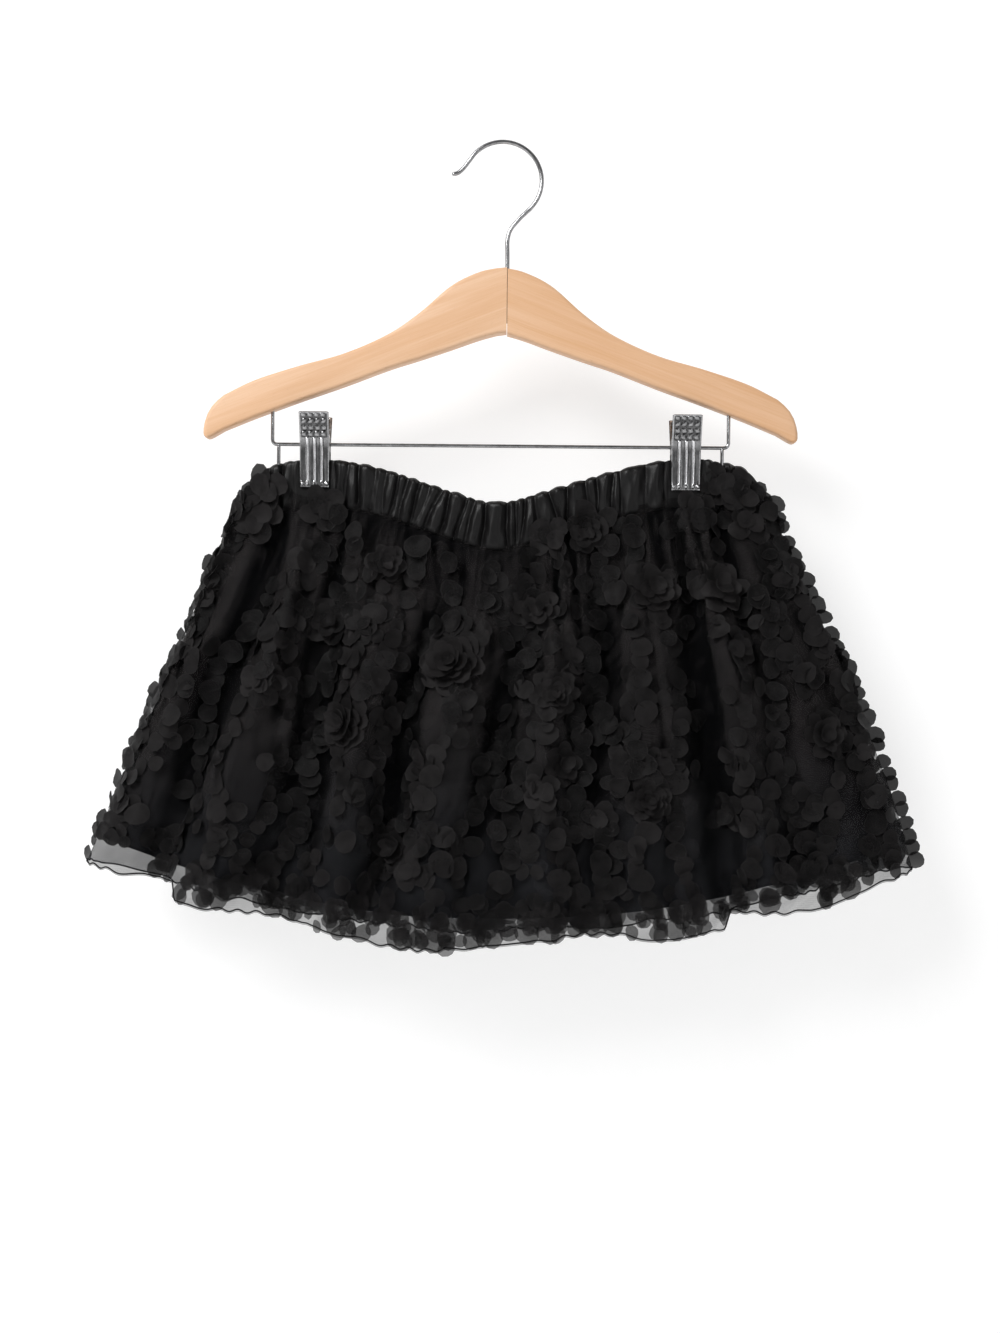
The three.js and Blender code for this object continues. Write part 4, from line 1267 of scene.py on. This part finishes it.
def satin_puffs(valleys, x, below):
    """How far the gathered satin stands out between its valleys."""
    share = below / BAND_HEIGHT
    number = np.arange(len(valleys))
    wobble = 0.5 * wave(share * 0.8, number * 2.4)
    places = np.sort(lerp(valleys[:, 0], valleys[:, 1], share) + wobble)
    i = np.clip(np.searchsorted(places, x) - 1, 0, len(places) - 2)
    gap = places[i + 1] - places[i]
    at = np.clip((x - places[i]) / gap, 0, 1)
    deep = lerp(valleys[i, 2], valleys[i + 1, 2], at)
    puff = np.sin(np.pi * at) ** 0.75 * np.minimum(gap / FULL_GATHER, 1.15)
    pleat = 0.16 * wave(at * 2.3 + 0.2 * share, i * 1.7) * np.sin(np.pi * at)
    slant = 0.26 * wave(x / 9.3 + below / 23) + 0.07 * wave(x / 4.7 - below / 15, 1)
    return (deep * (3.0 * puff - 1.7) + pleat + slant) * clip_free(x)


def band_middle(side, v):
    """Middle of the band's wall, seen from above."""
    across, corner = across_tube(v, 0.03, 0.03)
    x = lerp(BAND_LEFT, BAND_RIGHT, (across + 1) / 2)
    return np.stack([x, lean_back(x) + side * waist_depth(x) * corner], axis=-1)


def satin_waistband():
    """The gathered satin, a closed ring with a plain inside."""
    middle = []
    facing = []
    for side in SIDES.values():
        v = np.arange(SATIN_COLUMNS) / SATIN_COLUMNS
        v = v if side < 0 else 1 - v
        here, ahead, before = (
            band_middle(side, np.clip(v + step, 0, 1)) for step in (0, 0.003, -0.003)
        )
        along = unit(ahead - before)
        normal = np.stack([-side * along[:, 1], side * along[:, 0]], axis=-1)
        normal[0] = (side, 0.0)
        middle.append(here)
        facing.append(normal)
    middle = np.concatenate(middle)
    facing = np.concatenate(facing)
    x = middle[:, 0]
    top = waist_top(x)
    around = np.concatenate([[0], np.cumsum(np.linalg.norm(np.diff(middle, axis=0), axis=1))])
    front = np.arange(2 * SATIN_COLUMNS) < SATIN_COLUMNS
    loops = []
    places = []
    for below in SATIN_ROWS:
        puff = np.where(front, *(satin_puffs(VALLEYS[side], x, below) for side in SIDES.values()))
        rim = smoothstep(min(below, BAND_HEIGHT - below), -0.4, 1.6)
        swell = 0.5 * math.sin(math.pi * below / BAND_HEIGHT)
        out = np.clip(0.35 + rim * ((SATIN_PLUMP + swell) * clip_free(x) + puff), 0.0, SATIN_MOST)
        scallop = 0.4 * puff * (1 - below / BAND_HEIGHT) ** 2
        loops.append(np.column_stack([middle + facing * out[:, None], top - below + scallop]))
        places.append(np.column_stack([around, np.full_like(around, below)]))
    for below in SATIN_INSIDE_ROWS:
        loops.append(np.column_stack([middle - facing * SATIN_INSIDE, top - below]))
        places.append(np.column_stack([around, np.full_like(around, 60 - below)]))
    loops.append(loops[0])
    places.append(places[0])
    cloth = Cloth()
    cloth.add(loops, grid_faces(len(loops), len(x), ring=True, flip=True), places, 0.5)
    band = cloth.sewn("satin_waistband", SATIN, ["waistband"])
    closed = bmesh.new()
    closed.from_mesh(band.data)
    bmesh.ops.remove_doubles(closed, verts=closed.verts, dist=0.000001)
    closed.to_mesh(band.data)
    closed.free()
    return band


satin_waistband()


HOOK_TIP = [(-27.6, 0, -16.6), (-24.4, 0, -15.9), (-21.4, 0, -13.4)]
HOOK_NECK = [(9.2, 0, -40.4), (4.3, 0, -46.6), (HANGER_JOINT_X, 0, -51.5)]
HOOK_SHANK = [(HANGER_JOINT_X, 0, z) for z in (-60, -85, -97)]
HOOK_ARC = range(150, -43, -16)  # degrees above the right


def hook():
    centre_z = HOOK_WIRE / 2 - HOOK_RADIUS
    points = list(HOOK_TIP)
    for degrees in HOOK_ARC:
        turn = math.radians(degrees)
        points.append((HOOK_RADIUS * math.cos(turn), 0, centre_z + HOOK_RADIUS * math.sin(turn)))
    path = smooth_path(points + HOOK_NECK + HOOK_SHANK, 8)
    drawn_wire("hook_wire", [path], HOOK_WIRE / 2, 6, WIRE_STEEL, ["hook"])


def bend(before, corner, after, radius):
    """Points round a bend of a wire."""
    before, corner, after = (np.asarray(place, float) for place in (before, corner, after))
    start = corner + radius * unit(before - corner)
    end = corner + radius * unit(after - corner)
    return [lerp(lerp(start, corner, s), lerp(corner, end, s), s) for s in np.linspace(0, 1, 8)]


def clip_bar():
    left_top, right_top = (-BAR_LEG_X, 0, BAR_LEG_TOP_Z), (BAR_LEG_X, 0, BAR_LEG_TOP_Z)
    left_low, right_low = (-BAR_LEG_X, 0, BAR_Z), (BAR_LEG_X, 0, BAR_Z)
    path = [left_top, *bend(left_top, left_low, right_low, BAR_BEND)]
    path += [*bend(left_low, right_low, right_top, BAR_BEND), right_top]
    runs = [path]
    for side in (-1, 1):
        runs.append([(side * FINGER_X, 0, z) for z in (BAR_Z + 0.5, -168, FINGER_END_Z)])
    drawn_wire("clip_bar_wire", runs, BAR_WIRE / 2, 5, WIRE_STEEL, ["clip_bar"])


ARM_LENGTH = 149  # where the rounded tip begins
ARM_STATIONS = 50
GRAIN_SLANT = 0.38


def hanger_arm(word, side, tone):
    """An arm cut from a board: its outline, its thickness, and its long edges rounded."""
    start = HANGER_JOINT_GAP / 2 + side * HANGER_JOINT_X
    reach = np.array([start, *np.linspace(max(start, 0) + 2.5, ARM_LENGTH, ARM_STATIONS)])
    top = [(at, follow(ARM_EDGES, 1, at)) for at in reach]
    under = [(at, follow(ARM_EDGES, 2, at)) for at in reach]
    board = bmesh.new()
    corners = [
        board.verts.new((side * at, -HANGER_THICK / 2, z)) for at, z in top + ARM_TIP + under[::-1]
    ]
    face = board.faces.new(corners)
    grown = bmesh.ops.extrude_face_region(board, geom=[face], use_keep_orig=True)
    behind = [part for part in grown["geom"] if isinstance(part, bmesh.types.BMVert)]
    bmesh.ops.translate(board, verts=behind, vec=(0, HANGER_THICK, 0))
    long_edges = [
        edge
        for edge in board.edges
        if abs(edge.verts[0].co.y - edge.verts[1].co.y) < 1
        and any(abs(vert.co.x - side * start) > 0.01 for vert in edge.verts)
    ]
    bmesh.ops.bevel(board, geom=long_edges, offset=ARM_ROUNDING, offset_type="OFFSET", segments=5,
                    profile=0.5, affect="EDGES", clamp_overlap=False, material=-1)
    bmesh.ops.recalc_face_normals(board, faces=board.faces)
    layer = board.loops.layers.uv.new("cloth_mm")
    shade = board.verts.layers.float.new("tone")
    for vert in board.verts:
        vert[shade] = tone
    for face in board.faces:
        for loop in face.loops:
            x, y, z = loop.vert.co
            loop[layer].uv = (x * side, z + GRAIN_SLANT * x * side + y * 1.2 + side * 300)
    board.faces.index_update()
    flat_faces = [
        max(board.faces, key=lambda face: way * face.normal.y * face.calc_area()).index
        for way in (-1, 1)
    ]
    bmesh.ops.scale(board, verts=board.verts, vec=(MM, MM, MM))
    mesh = bpy.data.meshes.new(f"wooden_arm_{word}")
    board.to_mesh(mesh)
    board.free()
    piece_of(mesh.name, mesh, WOOD, [f"hanger_arm_{word}"])
    for number in flat_faces:
        mesh.polygons[number].use_smooth = False
    mesh.set_sharp_from_angle(angle=math.radians(50))


# Side view of a clip's plate. Columns: z, distance of its outer face from the bar's plane
PLATE_LINE = np.array([
    (-186.6, 3.65),
    (-181, 3.65),
    (-172, 4.6),
    (-163.3, 5.7),
    (-155, 9.1),
    (-147.2, 12.7),
])
PLATE_FLAT = 7.0  # half width of the plate's flat face
PLATE_BEND = 1.0  # radius of its folded sides
PLATE_WALL = 0.6
PLATE_GRID = (76, 104)
FLANGE_WIDTH, EAR_WIDTH = 0.4, 2.4
KNURL_LOW_Z = -160.4
KNURL_ACROSS, KNURL_DOWN = 3.5, 3.3
RIBS = (-3.8, 0.0, 3.8)
LIP_DOMES = (-6.6, -3.8, 0.0, 3.8, 6.6)
EAR_LOW_Z, EAR_TOP_Z = -167, -159.5
# Tones of the pressed plate, all painted light: shade in the sunk knurl and on the folded sides,
# highlights on the knurl tops, the ribs and the border
KNURL_PAINTED_LIGHT = (0.06, 0.4)  # painted shade in the sunk knurl, painted highlight on its raised tops
# the flats between the ribs, and the ribs painted bright as a highlight
RIB_PAINTED_LIGHT = (0.27, 1.0)
# the folded sides painted dark as shade
FLANGE_PAINTED_SHADE = 0.12
# a painted highlight along the plate's border
RIM_PAINTED_HIGHLIGHT = 0.8


def dome(distance, radius):
    return math.sqrt(max(1 - (distance / radius) ** 2, 0))


def pressed_form(p, z):
    """How far the pressed knurl, ribs and lip stand out of the plate."""
    knurl = smoothstep(z, KNURL_LOW_Z - 0.3, KNURL_LOW_Z + 0.3)
    across = math.sin(math.pi * (p + 0.35 * math.sin(1.3 * z)) / KNURL_ACROSS)
    upward = math.sin(math.pi * (z - KNURL_LOW_Z) / KNURL_DOWN)
    knurl_edge = min(PLATE_FLAT - abs(p), CLIP_TOP_Z - 0.6 - z)
    out = 0.9 * abs(across * upward) ** 0.7 * knurl * smoothstep(knurl_edge, 0.0, 0.5)
    for middle in RIBS:
        out += 1.0 * dome(p - middle, 1.05) * (1 - knurl) * smoothstep(z, -184.6, -183.8)
    for middle in LIP_DOMES:
        out += 0.7 * dome(math.hypot(p - middle, z + 184.7), 1.1)
    return out


def clip_plate(word, face, clip_x):
    """A plate pressed from sheet: knurled above, three ribs below, its sides folded back."""
    side = SIDES[face]
    name = f"clip_{word}_{face}"
    sheet = bmesh.new()
    bmesh.ops.create_grid(sheet, x_segments=PLATE_GRID[0], y_segments=PLATE_GRID[1], size=1)
    # the tone layer holds the plate's painted highlights and painted shade
    tone_and_painted_light = sheet.verts.layers.float.new("tone")
    for vert in sheet.verts:
        wide = vert.co.x * (PLATE_FLAT + PLATE_BEND * math.pi / 2 + 1)
        z = lerp(CLIP_LOW_Z, CLIP_TOP_Z, (vert.co.y + 1) / 2)
        over = max(abs(wide) - PLATE_FLAT, 0)
        turn = min(over / PLATE_BEND, math.pi / 2)
        ear = smoothstep(z, EAR_LOW_Z - 0.6, EAR_LOW_Z)
        ear *= 1 - smoothstep(z, EAR_TOP_Z, EAR_TOP_Z + 0.6)
        flange = max(over - PLATE_BEND * math.pi / 2, 0) * (FLANGE_WIDTH + EAR_WIDTH * ear)
        x = wide
        if over > 0:
            x = math.copysign(PLATE_FLAT + PLATE_BEND * math.sin(turn), wide)
        back = PLATE_BEND * (1 - math.cos(turn)) + flange
        pressed = pressed_form(wide, z)
        ground, raised = KNURL_PAINTED_LIGHT if z > KNURL_LOW_Z else RIB_PAINTED_LIGHT
        if over > PLATE_BEND * math.pi / 2:
            ground = raised = FLANGE_PAINTED_SHADE
        border = min(PLATE_FLAT + 0.6 - abs(wide), CLIP_TOP_Z - 0.5 - z, z - CLIP_LOW_Z - 0.4)
        # a painted highlight along the border
        rim = RIM_PAINTED_HIGHLIGHT * (1 - smoothstep(abs(border), 0.0, 0.5))
        vert[tone_and_painted_light] = max(lerp(ground, raised, smoothstep(pressed, 0.4, 0.9)), rim)
        vert.co = (clip_x + x, side * (follow(PLATE_LINE, 1, z) + pressed - back), z)
    if side > 0:
        bmesh.ops.reverse_faces(sheet, faces=sheet.faces)
    sheet.normal_update()
    bmesh.ops.solidify(sheet, geom=sheet.faces[:], thickness=PLATE_WALL)
    bmesh.ops.scale(sheet, verts=sheet.verts, vec=(MM, MM, MM))
    mesh = bpy.data.meshes.new(f"{name}_plate")
    sheet.to_mesh(mesh)
    sheet.free()
    piece_of(mesh.name, mesh, CLIP_STEEL, [name])
    mesh.set_sharp_from_angle(angle=math.radians(45))


SPRING_TURNS = 6
SPRING_LENGTH = 7.8
SPRING_RADIUS = 3.1
SPRING_WIRE = 1.1


def clip_spring(word, clip_x):
    share = np.linspace(0, 1, 150)
    turn = 2 * np.pi * SPRING_TURNS * share
    path = np.column_stack([
        clip_x + SPRING_LENGTH * (share - 0.5),
        SPRING_RADIUS * np.cos(turn),
        BAR_Z + SPRING_RADIUS * np.sin(turn),
    ])
    drawn_wire(f"clip_{word}_coil", [path], SPRING_WIRE / 2, 2, SPRING_STEEL,
               [f"clip_{word}_spring"])


hook()
clip_bar()
for word, way, tone in (("left", -1, 0.38), ("right", 1, 0.62)):
    hanger_arm(word, way, tone)
for word, way in (("left", -1), ("right", 1)):
    for face in SIDES:
        clip_plate(word, face, way * CLIP_X)
    clip_spring(word, way * CLIP_X)

# The room and the camera, in metres
FLOOR_Z = -0.78
WALL_Y = 0.056
WALL_TOP_Z = 1.6
ROOM_HALF = 3
SKIRT_MIDDLE_Z = -0.28
CAMERA_FAR = 1.0
VIEW_HEIGHT = 0.7205
SENSOR = 24
PHOTO_TURN = -0.5  # degrees by which the photograph is turned


def stage_sheet(name, corners, finish):
    mesh = bpy.data.meshes.new(name)
    mesh.from_pydata(corners, [], [(0, 1, 2, 3)])
    mesh.materials.append(finish.material)
    sheet = bpy.data.objects.new(name, mesh)
    bpy.context.collection.objects.link(sheet)


def pale_paint(name, light, glow):
    finish = Finish(name, roughness=0.9, gloss=0.1, emission_strength=glow)
    finish.shader.inputs["Emission Color"].default_value = (1, 1, 1, 1)
    cloud = finish.noise(finish.place(), 1.5, 2)
    finish.feed("Base Color", finish.blend(cloud, (light,) * 3, (light * 0.99,) * 3))
    return finish


FLOOR_CORNERS = [
    (-ROOM_HALF, -ROOM_HALF),
    (ROOM_HALF, -ROOM_HALF),
    (ROOM_HALF, ROOM_HALF),
    (-ROOM_HALF, ROOM_HALF),
]
WALL_CORNERS = [
    (-ROOM_HALF, FLOOR_Z),
    (ROOM_HALF, FLOOR_Z),
    (ROOM_HALF, WALL_TOP_Z),
    (-ROOM_HALF, WALL_TOP_Z),
]
floor_paint = pale_paint("pale_floor", 0.85, 0.0)
wall_paint = pale_paint("white_wall", 0.42, 0.69)
behind = wall_paint.node("ShaderNodeNewGeometry", {}, {}, "Backfacing")
clear = wall_paint.node("ShaderNodeBsdfTransparent", {}, {})
painted = Value(wall_paint, wall_paint.shader.outputs[0])
open_back = wall_paint.node("ShaderNodeMixShader", {}, {0: behind, 1: painted, 2: clear})
wall_paint.tree.links.new(
    open_back.socket, wall_paint.tree.nodes["Material Output"].inputs["Surface"]
)
stage_sheet("floor", [(x, y, FLOOR_Z) for x, y in FLOOR_CORNERS], floor_paint)
stage_sheet("wall", [(x, WALL_Y, z) for x, z in WALL_CORNERS], wall_paint)


def soft_light(name, place, size, power):
    data = bpy.data.lights.new(name, "AREA")
    data.size = size
    data.energy = power
    light = bpy.data.objects.new(name, data)
    bpy.context.collection.objects.link(light)
    light.location = place
    aim = Vector((0, 0, SKIRT_MIDDLE_Z)) - Vector(place)
    light.rotation_euler = aim.to_track_quat("-Z", "Z").to_euler()


soft_light("key_light", (-0.95, -1.3, 0.78), 0.8, 29.5)
soft_light("fill_light", (1.1, -1.6, 0.0), 1.0, 4.2)

world = bpy.data.worlds.new("studio")
bpy.context.scene.world = world
world.use_nodes = True
world.node_tree.nodes["Background"].inputs["Color"].default_value = (1, 1, 1, 1)
world.node_tree.nodes["Background"].inputs["Strength"].default_value = 0.17
bpy.context.scene.view_settings.view_transform = "Standard"

camera_data = bpy.data.cameras.new("camera")
camera_data.sensor_fit = "VERTICAL"
camera_data.sensor_height = SENSOR
camera_data.lens = SENSOR * CAMERA_FAR / VIEW_HEIGHT
camera = bpy.data.objects.new("camera", camera_data)
bpy.context.collection.objects.link(camera)
camera.location = (0.0008, -CAMERA_FAR, -0.2824)
camera.rotation_euler = (math.pi / 2, math.radians(PHOTO_TURN), 0)
bpy.context.scene.camera = camera
